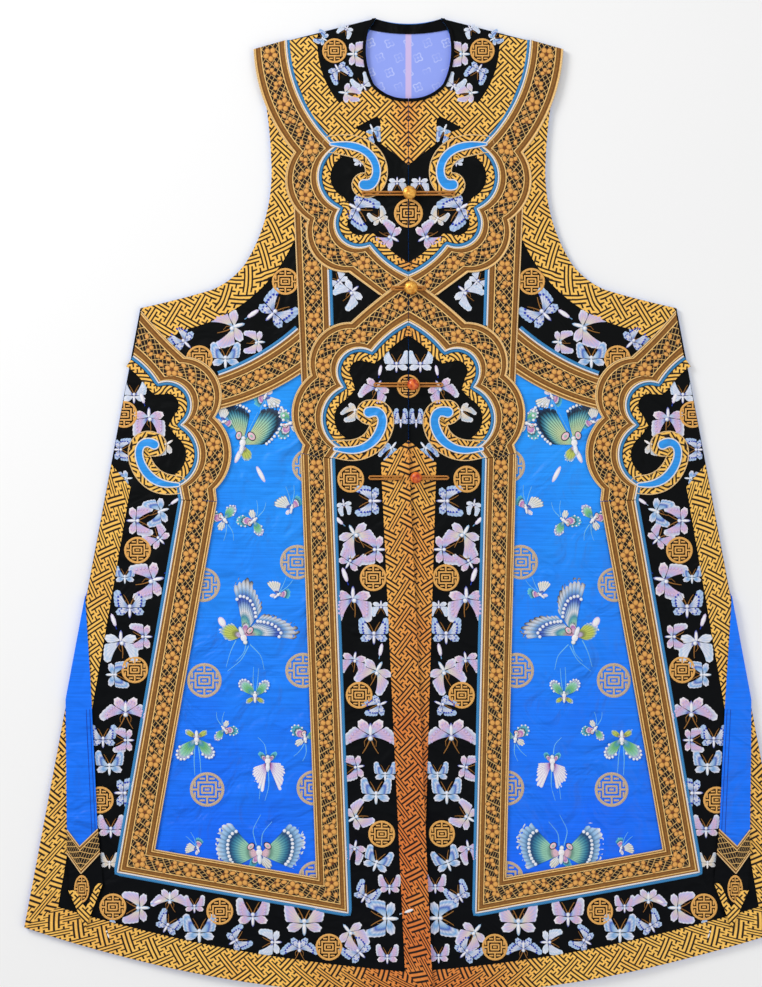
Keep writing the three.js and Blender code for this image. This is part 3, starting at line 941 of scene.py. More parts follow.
@dataclass(frozen=True)
class RibbonSilk(Cloth):
    """A woven ribbon: brown-gold sides with fine lines, and a dark latticed middle."""

    width: float = 45.0
    side: Colour = linear(178, 122, 52)
    deep: Colour = linear(96, 58, 24)
    light: Colour = linear(250, 206, 130)
    field: Colour = linear(24, 13, 8)

    def material(self, groups: Groups) -> bpy.types.Material:
        """Build the finish."""
        material, sketch, shader = self.begin()
        coordinates = sketch.node("TexCoord")
        u, v = sketch.parts(coordinates.outputs["UV"])
        out = abs(v) / (self.width / 2 * MM)
        weave, = sketch.group(groups.weave, {"X": u, "Y": v, "Thread": 1.5 * MM})
        fine = sketch.noise(coordinates.outputs["Object"], 300.0, 2.0)
        side = sketch.mix(weave.spread(0.25, 0.8), self.deep, self.side)
        ahead, aside = u / (9.5 * MM), v / (8.0 * MM)
        first, second = (sketch.math("PINGPONG", slant + fine * 0.12, 0.5)
                         for slant in (ahead + aside, ahead - aside))
        stems = sketch.math("MINIMUM", first, second).spread(0.05, 0.1, 0.85, 0.0)
        field_colour = sketch.mix(stems, self.field, sketch.mix(0.35, self.light, self.side))
        tone = sketch.mix(out.spread(0.60, 0.615), field_colour, side)
        for start, end, colour in ((0.555, 0.61, self.light), (0.66, 0.69, self.deep),
                                   (0.83, 0.86, self.deep), (0.93, 0.99, self.light)):
            band = out.spread(start - 0.01, start + 0.01) * out.spread(end - 0.01, end + 0.01,
                                                                       1.0, 0.0)
            tone = sketch.mix(band, tone, colour)
        toned = sketch.shaded(tone, fine.spread(0.3, 0.7, 0.85, 1.15))
        sketch.feed(shader.inputs["Base Color"], toned)
        self.bump(sketch, shader, weave * 0.8 + stems, 0.6)
        return material


@dataclass(frozen=True)
class Damask(Cloth):
    """Lilac lining with lighter rings and flowers woven in, and a pink seam at its middle."""

    ground: Colour = linear(146, 164, 244)
    figure: Colour = linear(188, 200, 252)
    seam: Colour = linear(206, 186, 232)
    cell_x: float = 27.0
    cell_y: float = 21.0

    def material(self, groups: Groups) -> bpy.types.Material:
        """Build the finish."""
        material, sketch, shader = self.begin()
        place = sketch.node("TexCoord").outputs["Object"]
        x, y = sketch.parts(place)
        row = y / (self.cell_y * MM)
        shift = sketch.math("MODULO", sketch.math("FLOOR", row), 2.0) * 0.5
        column = x / (self.cell_x * MM) + shift
        aside = (sketch.math("FRACT", column) - 0.5) * self.cell_x
        up = (sketch.math("FRACT", row) - 0.5) * self.cell_y
        reach = sketch.math("SQRT", aside * aside + up * up)
        petals = sketch.math("SINE", sketch.math("ARCTAN2", up, aside) * 4.0) * 1.3
        ring = abs(reach + petals - 5.6).spread(0.6, 1.3, 1.0, 0.0)
        figure = sketch.math("MAXIMUM", ring, reach.spread(1.2, 2.0, 0.8, 0.0))
        worn = figure * sketch.noise(place, 40.0, 3.0).spread(0.35, 0.62)
        tone = sketch.mix(worn, self.ground, self.figure)
        tone = sketch.mix(abs(x).spread(0.0035, 0.0048, 1.0, 0.0), tone, self.seam)
        sketch.feed(shader.inputs["Base Color"], tone)
        weave, = sketch.group(groups.weave, {"X": x, "Y": y, "Thread": 0.8 * MM})
        self.bump(sketch, shader, weave + figure, 0.4)
        return material


@dataclass(frozen=True)
class Embroidery(Cloth):
    """Floss silk in satin stitch, its colours painted on the stitches' own places, with painted
    highlight on each stitch row's crest and painted shade in its groove.
    """

    stitch: float = 0.75

    def material(self) -> bpy.types.Material:
        """Build the finish."""
        material, sketch, shader = self.begin()
        tint = sketch.node("Attribute", attribute_name="Tint").outputs["Color"]
        u, v = sketch.parts(sketch.node("TexCoord").outputs["UV"])
        # Painted highlight and painted shade: the colour follows the stitch rows' wave, lighter on each
        # crest and darker in each groove.
        rows = v.wave(self.stitch * MM)
        sketch.feed(shader.inputs["Base Color"], sketch.shaded(tint, rows.spread(-1, 1, 0.9, 1.06)))
        self.bump(sketch, shader, rows + u.wave(self.stitch * 7 * MM) * 0.2, 0.5)
        return material


@dataclass(frozen=True)
class Thread(Cloth):
    """Twisted thread or piping, with its lay slanting across it and painted shade in the grooves
    between its strands.
    """

    colour: Colour = (0.0, 0.0, 0.0)
    # dark is painted shade: the colour of the grooves between the strands.
    dark: Colour = (0.0, 0.0, 0.0)
    twist: float = 2.4

    def material(self) -> bpy.types.Material:
        """Build the finish."""
        material, sketch, shader = self.begin()
        u, v = sketch.parts(sketch.node("TexCoord").outputs["UV"])
        strands = (u + v).wave(self.twist * MM)
        # Painted shade: where the twist's bump is low, in the grooves, the colour goes to dark.
        colour = sketch.mix(strands.spread(-1.0, 0.2), self.dark, self.colour)
        sketch.feed(shader.inputs["Base Color"], colour)
        self.bump(sketch, shader, strands, 0.6)
        return material


@dataclass(frozen=True)
class ButtonGloss:
    """A polished button, of gilt metal or of coral-red stone."""

    name: str
    bright: Colour
    deep: Colour
    metallic: float
    roughness: float

    def material(self) -> bpy.types.Material:
        """Build the finish."""
        material, sketch, shader = new_material(self.name)
        shader.inputs["Metallic"].default_value = self.metallic
        cloud = sketch.noise(sketch.node("TexCoord").outputs["Object"], 190.0, 3.0)
        colour = sketch.mix(cloud.spread(0.4, 0.62), self.bright, self.deep)
        sketch.feed(shader.inputs["Base Color"], colour)
        rough = cloud.spread(0.3, 0.7, self.roughness - 0.08, self.roughness + 0.12)
        sketch.feed(shader.inputs["Roughness"], rough)
        bump = sketch.node("Bump", {"Strength": 0.3, "Distance": 0.2 * MM, "Height": cloud})
        sketch.feed(shader.inputs["Normal"], bump.outputs[0])
        return material


class Finishes:
    """Every finish of the garment, built once."""

    def __init__(self) -> None:
        """Build them."""
        groups = Groups()
        self.blue = self.satin(groups, "BlueSatin", 0.42, (34, 152, 252), (10, 104, 250))
        self.strap = self.satin(groups, "StrapSatin", 0.42, (14, 122, 252), (12, 112, 248))
        self.back = self.satin(groups, "BackSatin", 0.5, (28, 126, 225), (12, 70, 210))
        self.scroll = self.satin(groups, "ScrollSatin", 0.42, (44, 148, 232), (44, 148, 232),
                                 0.14)
        self.black = Satin("BlackSatin", 0.62, 0.0, 0.14, 0.07, top=linear(9, 11, 12),
                           low=linear(6, 8, 12)).material(groups)
        self.binding = Satin("BindingSatin", 0.62, 0.0, 0.14, 0.07, top=linear(7, 7, 9),
                             low=linear(7, 7, 9)).material(groups)
        self.fret = FretSilk("FretSilk", 0.52, 0.02, 0.35).material(groups)
        self.ribbon = RibbonSilk("RibbonSilk", 0.6, 0.02, 0.3).material(groups)
        self.damask = Damask("LilacDamask", 0.5, 0.02, 0.12).material(groups)
        self.floss = Embroidery("FlossSilk", 0.45, 0.02, 0.18).material()
        # The second colour of each piping and cord is painted shade for the grooves of its twist.
        self.cream_piping = self.piping("CreamPiping", (246, 214, 158), (190, 140, 80))
        self.white_piping = self.piping("WhitePiping", (246, 240, 236), (196, 200, 214))
        self.blue_piping = self.piping("BluePiping", (66, 148, 204), (34, 96, 158))
        self.gold_cord = Thread("GoldCord", 0.45, 0.02, 0.3, colour=linear(232, 158, 78),
                                dark=linear(112, 58, 22), twist=1.6).material()
        self.gold_roundel = Thread("GoldRoundel", 0.5, 0.02, 0.3, colour=linear(252, 194, 108),
                                   dark=linear(214, 146, 70), twist=1.3).material()
        self.tan_cord = Thread("TanRoundel", 0.5, 0.02, 0.3, colour=linear(222, 200, 172),
                               dark=linear(176, 150, 124), twist=1.3).material()
        self.gilt = ButtonGloss("GiltMetal", linear(255, 196, 92), linear(214, 140, 52), 0.75,
                                0.34).material()
        self.coral = ButtonGloss("CoralRed", linear(236, 116, 40), linear(176, 44, 14), 0.0,
                                 0.26).material()

    @staticmethod
    def satin(groups: Groups, name: str, roughness: float, top: Colour, low: Colour,
              bump_height: float = 0.16) -> bpy.types.Material:
        """A coloured satin, its colours given in display values."""
        return Satin(name, roughness, 0.02, bump_height, top=linear(*top),
                     low=linear(*low)).material(groups)

    @staticmethod
    def piping(name: str, colour: Colour, dark: Colour) -> bpy.types.Material:
        """A twisted piping, its colours given in display values, the dark one as painted shade in its
        grooves.
        """
        return Thread(name, 0.5, 0.02, 0.2, colour=linear(*colour), dark=linear(*dark)).material()


# ---------------------------------------------------------------- embroidered motifs


class Motif:
    """A piece of embroidery in its own millimetres: places, faces, stitches and colours."""

    def __init__(self) -> None:
        """Start empty."""
        self.points: list[np.ndarray] = []
        self.uvs: list[np.ndarray] = []
        self.tints: list[np.ndarray] = []
        self.faces: list[tuple[int, ...]] = []
        self.count = 0

    def add(self, points: np.ndarray, faces: Sequence[Sequence[int]], uvs: np.ndarray,
            tints: np.ndarray) -> None:
        """Add a part, with its faces turned upward."""
        total = sum(signed_area(points[list(face)]) for face in faces)
        ordered = faces if total >= 0 else [tuple(reversed(f)) for f in faces]
        self.faces += [tuple(i + self.count for i in f) for f in ordered]
        self.points.append(points)
        self.uvs.append(uvs)
        self.tints.append(tints)
        self.count += len(points)

    def dome(self, x: float, y: float, wide: float, tall: float, height: float,
             middle: Colour, edge: Colour, angle: float = 0.0, sides: int = 9,
             base: float = 0.0) -> None:
        """Add a rounded pad of stitches.

        Args:
            x: its middle.
            y: its middle.
            wide: half its width.
            tall: half its length.
            height: how far it stands up.
            middle: the colour at its middle.
            edge: the colour at its edge.
            angle: how far it is turned, in degrees.
            sides: how many sides it has.
            base: how high its edge is.
        """
        turn = math.radians(angle)
        points, tints = [(x, y, base + height)], [middle]
        for reach, rise, colour in ((0.6, 0.78, middle), (1.0, 0.0, edge)):
            for i in range(sides):
                way = 2 * math.pi * i / sides
                across, up = wide * reach * math.cos(way), tall * reach * math.sin(way)
                points.append((x + across * math.cos(turn) - up * math.sin(turn),
                               y + across * math.sin(turn) + up * math.cos(turn),
                               base + height * rise))
                tints.append(colour)
        faces = [(0, 1 + i, 1 + (i + 1) % sides) for i in range(sides)]
        faces += [(1 + i, 1 + sides + i, 1 + sides + (i + 1) % sides, 1 + (i + 1) % sides)
                  for i in range(sides)]
        places = np.array(points)
        self.add(places, faces, places[:, :2] * MM, np.array(tints))

    def thread(self, line: Sequence[tuple[float, float]], half: float, tint: Colour,
               height: float = 0.35) -> None:
        """Add a couched thread along a line, thinner towards its end."""
        places = np.array(line, float)
        way = headings(places)
        normal = np.column_stack([-way[:, 1], way[:, 0]])
        taper = np.linspace(1.0, 0.55, len(places))[:, None] * half
        left, right = places + normal * taper, places - normal * taper
        flat = np.zeros((len(places), 1))
        rows = [np.hstack([left, flat]), np.hstack([places, flat + height]),
                np.hstack([right, flat])]
        points = np.stack(rows, axis=1).reshape(-1, 3)
        self.add(points, grid_faces(len(places) - 1, 2), points[:, :2] * MM,
                 np.tile(tint, (len(points), 1)))

    def copy_from(self, other: Motif, angle: float, scale: float, x: float, y: float,
                  mirrored: bool = False) -> None:
        """Add another motif, turned (degrees, towards +x), scaled and moved."""
        turn = math.radians(angle)
        sign = -1.0 if mirrored else 1.0
        places = np.concatenate(other.points) * scale
        side, up = places[:, 0] * sign, places[:, 1]
        moved = np.column_stack([
            x + side * math.cos(turn) + up * math.sin(turn),
            y - side * math.sin(turn) + up * math.cos(turn),
            places[:, 2],
        ])
        faces = [tuple(reversed(f)) for f in other.faces] if mirrored else other.faces
        self.faces += [tuple(i + self.count for i in f) for f in faces]
        self.points.append(moved)
        self.uvs.append(np.concatenate(other.uvs) * scale)
        self.tints.append(np.concatenate(other.tints))
        self.count += len(moved)

    def sew(self, name: str, surface: FrontSurface, level: float, material: bpy.types.Material,
            covers: Sequence[np.ndarray] = (), hem: bool = False) -> bpy.types.Object:
        """Lay the motif on a surface and write it as a mesh.

        Args:
            name: the object's name.
            surface: what it lies on.
            level: height of the cloth that it is sewn to.
            material: its finish.
            covers: outlines of cloth that lies over it, where it is pressed flat and ends.
            hem: whether it ends at the front's own edges.

        Returns:
            The new object.
        """
        places = np.concatenate(self.points)
        uvs, tints = np.concatenate(self.uvs), np.concatenate(self.tints)
        beyond = np.zeros(len(places), bool)
        for ring in covers:
            beyond |= inside(places[:, :2], ring)
        places[beyond, 2] = np.minimum(places[beyond, 2], 0.5)
        if hem:
            beyond |= trim_to_front(places)
        used, faces = compact([f for f in self.faces if not all(beyond[i] for i in f)])
        top = surface.place(places[used][:, :2], level + places[used][:, 2])
        return write_mesh(name, top, faces, uvs[used], STITCH_WALL * MM, material, tints[used],
                          closed=False)


def side_edge_x(y: float | np.ndarray) -> float | np.ndarray:
    """Where the front's side edge lies at a height of the half pattern."""
    (top_x, top_y, _), (low_x, low_y, _) = ARMHOLE[-1], HEM_CORNER
    return top_x + (low_x - top_x) * (top_y - y) / (top_y - low_y)


def trim_to_front(places: np.ndarray) -> np.ndarray:
    """Pull places back inside the centre front and the side edge; return which were out."""
    edge = side_edge_x(places[:, 1]) - SIDE_MARGIN
    out = (places[:, 0] < CENTRE_MARGIN) & (places[:, 1] > LAP_TOP_Y)
    places[out, 0] = CENTRE_MARGIN
    fall = (LAP_TOP_Y - places[:, 1]) / (LAP_TOP_Y - HEM_Y)
    opening = CENTRE_MARGIN - LAP_WIDTH * fall
    low = (places[:, 0] < opening) & (places[:, 1] <= LAP_TOP_Y)
    places[low, 0] = opening[low]
    out |= low
    wide = (places[:, 0] > edge) & (places[:, 1] < ARMHOLE[-1][1])
    places[wide, 0] = edge[wide]
    return out | wide


WHITE = linear(250, 248, 252)
PEARL = linear(226, 230, 250)
LILAC = linear(214, 194, 240)
ROSE = linear(240, 200, 214)
CREAM = linear(246, 232, 210)
SKY = linear(136, 190, 238)
PALE_BLUE = linear(190, 218, 246)
DEEP_BLUE = linear(40, 66, 190)
INK = linear(16, 28, 48)
TEAL = linear(70, 160, 190)
MINT = linear(160, 218, 190)
LIME = linear(200, 212, 104)
MAGENTA = linear(196, 96, 190)
BROWN_GOLD = linear(176, 122, 62)
STITCH_BLUE = linear(16, 62, 170)
THREAD_BLUE = linear(120, 200, 250)


@dataclass(frozen=True)
class Palette:
    """A wing's colours from its root to its edge, its veins and its rim."""

    stops: tuple[tuple[float, Colour], ...]
    vein: Colour
    vein_depth: float = 0.5
    spots: Colour | None = None


PALETTES: dict[str, Palette] = {
    "pearl": Palette(((0, WHITE), (0.14, DEEP_BLUE), (0.22, WHITE), (0.5, PEARL), (0.8, WHITE),
                      (0.92, SKY), (1, WHITE)), SKY, 0.4),
    "lilac": Palette(((0, WHITE), (0.16, DEEP_BLUE), (0.24, PALE_BLUE), (0.4, LILAC),
                      (0.76, ROSE), (0.9, PALE_BLUE), (1, WHITE)), DEEP_BLUE, 0.15, LILAC),
    "sky": Palette(((0, WHITE), (0.3, PALE_BLUE), (0.5, SKY), (0.6, DEEP_BLUE), (0.66, WHITE),
                    (0.86, SKY), (1, WHITE)), DEEP_BLUE, 0.3),
    "rose": Palette(((0, WHITE), (0.18, SKY), (0.26, CREAM), (0.6, ROSE), (0.86, LILAC),
                     (0.93, PALE_BLUE), (1, WHITE)), SKY, 0.4),
    "cream": Palette(((0, WHITE), (0.5, CREAM), (0.9, PALE_BLUE), (1, WHITE)), BROWN_GOLD, 0.25),
    "inked": Palette(((0, WHITE), (0.2, DEEP_BLUE), (0.3, PALE_BLUE), (0.5, WHITE),
                      (0.86, PALE_BLUE), (0.94, DEEP_BLUE), (1, PALE_BLUE)), DEEP_BLUE, 0.4,
                     DEEP_BLUE),
    "green_pearl": Palette(((0, MINT), (0.35, linear(216, 232, 178)), (0.62, MINT),
                            (0.7, TEAL), (0.84, INK), (0.9, INK), (1, linear(60, 130, 220))),
                           INK, 0.75),
    "dark_edged": Palette(((0, MAGENTA), (0.14, ROSE), (0.2, INK), (0.24, MINT), (0.34, TEAL),
                           (0.4, WHITE), (0.54, SKY), (0.6, DEEP_BLUE), (0.7, DEEP_BLUE),
                           (0.76, SKY), (0.9, WHITE), (0.95, INK), (1, INK)), INK, 0.45),
    "teal_fan": Palette(((0, ROSE), (0.2, ROSE), (0.23, INK), (0.27, MINT), (0.42, MINT),
                         (0.54, TEAL), (0.66, linear(30, 74, 120)), (0.74, linear(40, 90, 140)),
                         (0.8, SKY), (0.93, PALE_BLUE), (1, WHITE)), linear(20, 60, 110), 0.5),
    "lilac_fan": Palette(((0, INK), (0.14, INK), (0.18, MAGENTA), (0.3, LILAC), (0.5, WHITE),
                          (1, WHITE)), LILAC, 0.8),
    "lime_fan": Palette(((0, ROSE), (0.25, LILAC), (0.35, linear(120, 130, 60)), (0.5, LIME),
                         (0.8, LIME), (0.9, SKY), (1, WHITE)), linear(110, 130, 60), 0.5),
    "mint_fan": Palette(((0, WHITE), (0.3, TEAL), (0.5, linear(120, 196, 110)), (0.75, MINT),
                         (0.9, LILAC), (1, LILAC)), TEAL, 0.4),
    "white_fan": Palette(((0, PALE_BLUE), (0.25, DEEP_BLUE), (0.32, WHITE), (0.8, CREAM),
                          (0.92, WHITE), (0.96, INK), (1, INK)), TEAL, 0.6),
    "pink_teal": Palette(((0, LILAC), (0.3, ROSE), (0.5, MAGENTA), (0.58, WHITE), (0.66, INK),
                          (0.75, TEAL), (1, linear(120, 220, 230))), TEAL, 0.3),
}

# Reach of a wing's edge from its root, at equal shares from the leading edge.
FORE_REACH = (0.84, 1.0, 0.93, 0.8, 0.68, 0.58, 0.5)
HIND_REACH = (0.62, 0.84, 0.97, 1.0, 0.92, 0.74, 0.5)
SMALL_REACH = (0.86, 1.0, 0.93, 0.82, 0.74, 0.68, 0.62)
FAN_REACH = (0.92, 1.0, 0.98, 0.93, 0.88, 0.83, 0.76)


@dataclass(frozen=True)
class Wing:
    """One wing: the angles of its two edges from the way up towards +x, and its length."""

    start: float
    end: float
    length: float
    palette: str
    reach: tuple[float, ...] = FORE_REACH
    lobes: int = 6
    scallop: float = 0.06
    bend: float = 14.0
    pearls: float = 0.0
    spot_size: float = 0.055

    def sew_on(self, motif: Motif, x: float, y: float, rings: int, rays_per_lobe: int,
               height: float) -> None:
        """Add the wing to a motif.

        Args:
            motif: what it becomes part of.
            x: its root.
            y: its root.
            rings: how many rings of faces it has.
            rays_per_lobe: how many faces each lobe is across.
            height: how far it stands up.
        """
        palette = PALETTES[self.palette]
        rays = self.lobes * rays_per_lobe
        shares = np.linspace(0, 1, rays + 1)
        reach = np.interp(shares, np.linspace(0, 1, len(self.reach)), self.reach)
        swell = np.abs(np.sin(math.pi * self.lobes * shares))
        places_of = [stop for stop, _ in palette.stops]
        colours = np.array([colour for _, colour in palette.stops])
        points, uvs, tints = [], [], []
        for ring in range(rings + 1):
            out = ring / rings
            scalloped = reach * (1 - self.scallop * (1 - swell) * out)
            lean = self.bend * (1 - shares) * (1 - out)
            angle = np.radians(self.start + (self.end - self.start) * shares + lean * np.sign(
                self.end - self.start))
            radius = self.length * scalloped * out
            rise = height * math.sin(math.pi * min(out * 1.1, 1.0)) ** 0.6 * (0.7 + 0.3 * swell)
            points.append(np.column_stack([x + radius * np.sin(angle),
                                           y + radius * np.cos(angle), rise]))
            base = np.array([np.interp(out, places_of, colours[:, c]) for c in range(3)])
            depth = palette.vein_depth * (1 - swell)[:, None] ** 2 * min(1.0, out * 2)
            tints.append(base * (1 - depth) + np.array(palette.vein) * depth)
            uvs.append(np.column_stack([radius, shares * self.length * 0.8]) * MM)
        motif.add(np.concatenate(points), grid_faces(rings, rays), np.concatenate(uvs),
                  np.concatenate(tints))
        dots = [(0.72, palette.spots, self.spot_size)] if palette.spots else []
        if self.pearls:
            dots.append((self.pearls, WHITE, 0.042))
        for out, colour, size in dots:
            for lobe in range(self.lobes):
                share = (lobe + 0.5) / self.lobes
                angle = math.radians(self.start + (self.end - self.start) * share)
                radius = self.length * float(np.interp(
                    share, np.linspace(0, 1, len(self.reach)), self.reach)) * out
                motif.dome(x + radius * math.sin(angle), y + radius * math.cos(angle),
                           self.length * size, self.length * size * 1.15, height * 0.6, colour,
                           PALE_BLUE if colour == WHITE else colour, sides=7, base=height * 0.85)


class Pose(Enum):
    """How a small butterfly holds its wings: each fore wing's angles, left then right."""

    SPREAD = ((-86.0, -30.0), (30.0, 86.0))
    RAISED = ((-62.0, -10.0), (10.0, 62.0))
    TURNED = ((-112.0, -58.0), (-4.0, 50.0))
    SWEPT = ((-122.0, -70.0), (70.0, 122.0))
    FOLDED = ((-30.0, 10.0), (24.0, 78.0))


def small_butterfly(palette: str, pose: Pose, tail: bool) -> Motif:
    """A small butterfly a span of one across, its head up.

    Args:
        palette: its wings' colours.
        pose: how it holds them.
        tail: whether it trails a long hind petal.

    Returns:
        The motif.
    """
    motif = Motif()
    petal = PALETTES[palette].stops[1][1]
    (left_start, left_end), (right_start, right_end) = pose.value
    back = (left_start + right_end) / 2 + 180
    for start, end, sign in ((left_end, left_start, -1), (right_start, right_end, 1)):
        Wing(end - sign * 6, end + sign * 50, 0.38, palette, HIND_REACH, 4, 0.06, 0,
             spot_size=0.05).sew_on(motif, 0, -0.01, 4, 2, 0.018)
        Wing(start, end, 0.6, palette, SMALL_REACH, 5, 0.03, spot_size=0.045).sew_on(
            motif, 0, 0.02, 7, 2, 0.022)
    if tail:
        way = math.radians(back + 20)
        stem = [(t * math.sin(way), t * math.cos(way)) for t in (0.28, 0.36)]
        motif.thread(stem, 0.012, petal, 0.012)
        motif.dome(0.5 * math.sin(way), 0.5 * math.cos(way), 0.05, 0.16, 0.02, WHITE, LILAC,
                   angle=-(back + 20), sides=8)
    way = math.radians(back)
    motif.dome(0.1 * math.sin(way), 0.1 * math.cos(way), 0.045, 0.15, 0.03, WHITE, petal, -back,
               8)
    motif.dome(0, 0.06, 0.055, 0.055, 0.035, WHITE, SKY, sides=8)
    for sign in (-1, 1):
        curve = [(sign * (0.02 + 0.09 * t + 0.05 * t * t), 0.1 + 0.26 * t)
                 for t in (0, 0.3, 0.6, 0.85, 1.0)]
        motif.thread(curve, 0.014, BROWN_GOLD, 0.012)
    for sign in (-1, 1):
        leg = [(sign * 0.04, 0.02), (sign * 0.12, 0.12), (sign * 0.11, 0.22)]
        motif.thread(leg, 0.01, BROWN_GOLD, 0.01)
    return motif


def eye_spot(motif: Motif, x: float, y: float, size: float, angle: float, colour: Colour
             ) -> None:
    """Add a dark-edged oval eye with a coloured middle."""
    motif.dome(x, y, size, size * 1.35, 1.1, INK, INK, angle, 14, base=1.0)
    motif.dome(x, y, size * 0.78, size * 1.1, 0.9, colour, colour, angle, 14, base=1.6)
    motif.dome(x, y, size * 0.34, size * 0.5, 0.6, MINT, INK, angle, 10, base=2.2)


def body(motif: Motif, heading: float, length: float, back: Colour = WHITE) -> None:
    """Add a large butterfly's head, chest and tail along a heading in degrees."""
    way = math.radians(heading)
    for at, wide, tall, colour in ((0.42, 0.16, 0.16, TEAL), (0.12, 0.2, 0.24, back),
                                   (-0.3, 0.15, 0.36, PALE_BLUE)):
        motif.dome(at * length * math.sin(way), at * length * math.cos(way), wide * length,
                   tall * length, 1.2, WHITE, colour, -heading, 12, base=1.6)


def feeler(motif: Motif, points: Sequence[tuple[float, float]]) -> None:
    """Add a long antenna or trailing thread through a few places."""
    rows = [(x, y, 0.0) for x, y in points]
    line = edge_line(rows, 3.0)
    smooth = line.copy()
    for _ in range(6):
        smooth[1:-1] = (smooth[:-2] + smooth[1:-1] * 2 + smooth[2:]) / 4
    motif.thread([tuple(p) for p in smooth], 0.75, THREAD_BLUE, 0.5)


def fringe(motif: Motif, wing: Wing, at: float, radius: float, count: int,
           colour: Colour = WHITE) -> None:
    """Add a row of pearls along a wing at a share of its reach."""
    for i in range(count):
        share = (i + 0.5) / count
        angle = math.radians(wing.start + (wing.end - wing.start) * share)
        reach = wing.length * at * float(np.interp(
            share, np.linspace(0, 1, len(wing.reach)), wing.reach))
        motif.dome(reach * math.sin(angle), reach * math.cos(angle), radius, radius, 1.0, colour,
                   PALE_BLUE, sides=9, base=1.1)


@dataclass(frozen=True)
class Grand:
    """A large butterfly of the blue panel, drawn in millimetres about its chest."""

    wings: tuple[Wing, ...]
    heading: float
    feelers: tuple[tuple[tuple[float, float], ...], ...]
    eyes: tuple[tuple[float, float, float, float], ...] = ()
    pearls: tuple[tuple[int, float, float, int], ...] = ()
    length: float = 22.0
    tails: tuple[tuple[float, float, float, float, float], ...] = ()

    def motif(self) -> Motif:
        """Draw it."""
        made = Motif()
        for x, y, wide, tall, angle in self.tails:
            made.dome(x, y, wide, tall, 0.9, WHITE, LILAC, angle, 12)
        for wing in reversed(self.wings):
            wing.sew_on(made, 0, 0, 12, 3, 1.2)
        for index, at, radius, count in self.pearls:
            fringe(made, self.wings[index], at, radius, count)
        for x, y, size, angle in self.eyes:
            eye_spot(made, x, y, size, angle, ROSE)
        body(made, self.heading, self.length)
        for points in self.feelers:
            feeler(made, points)
        return made


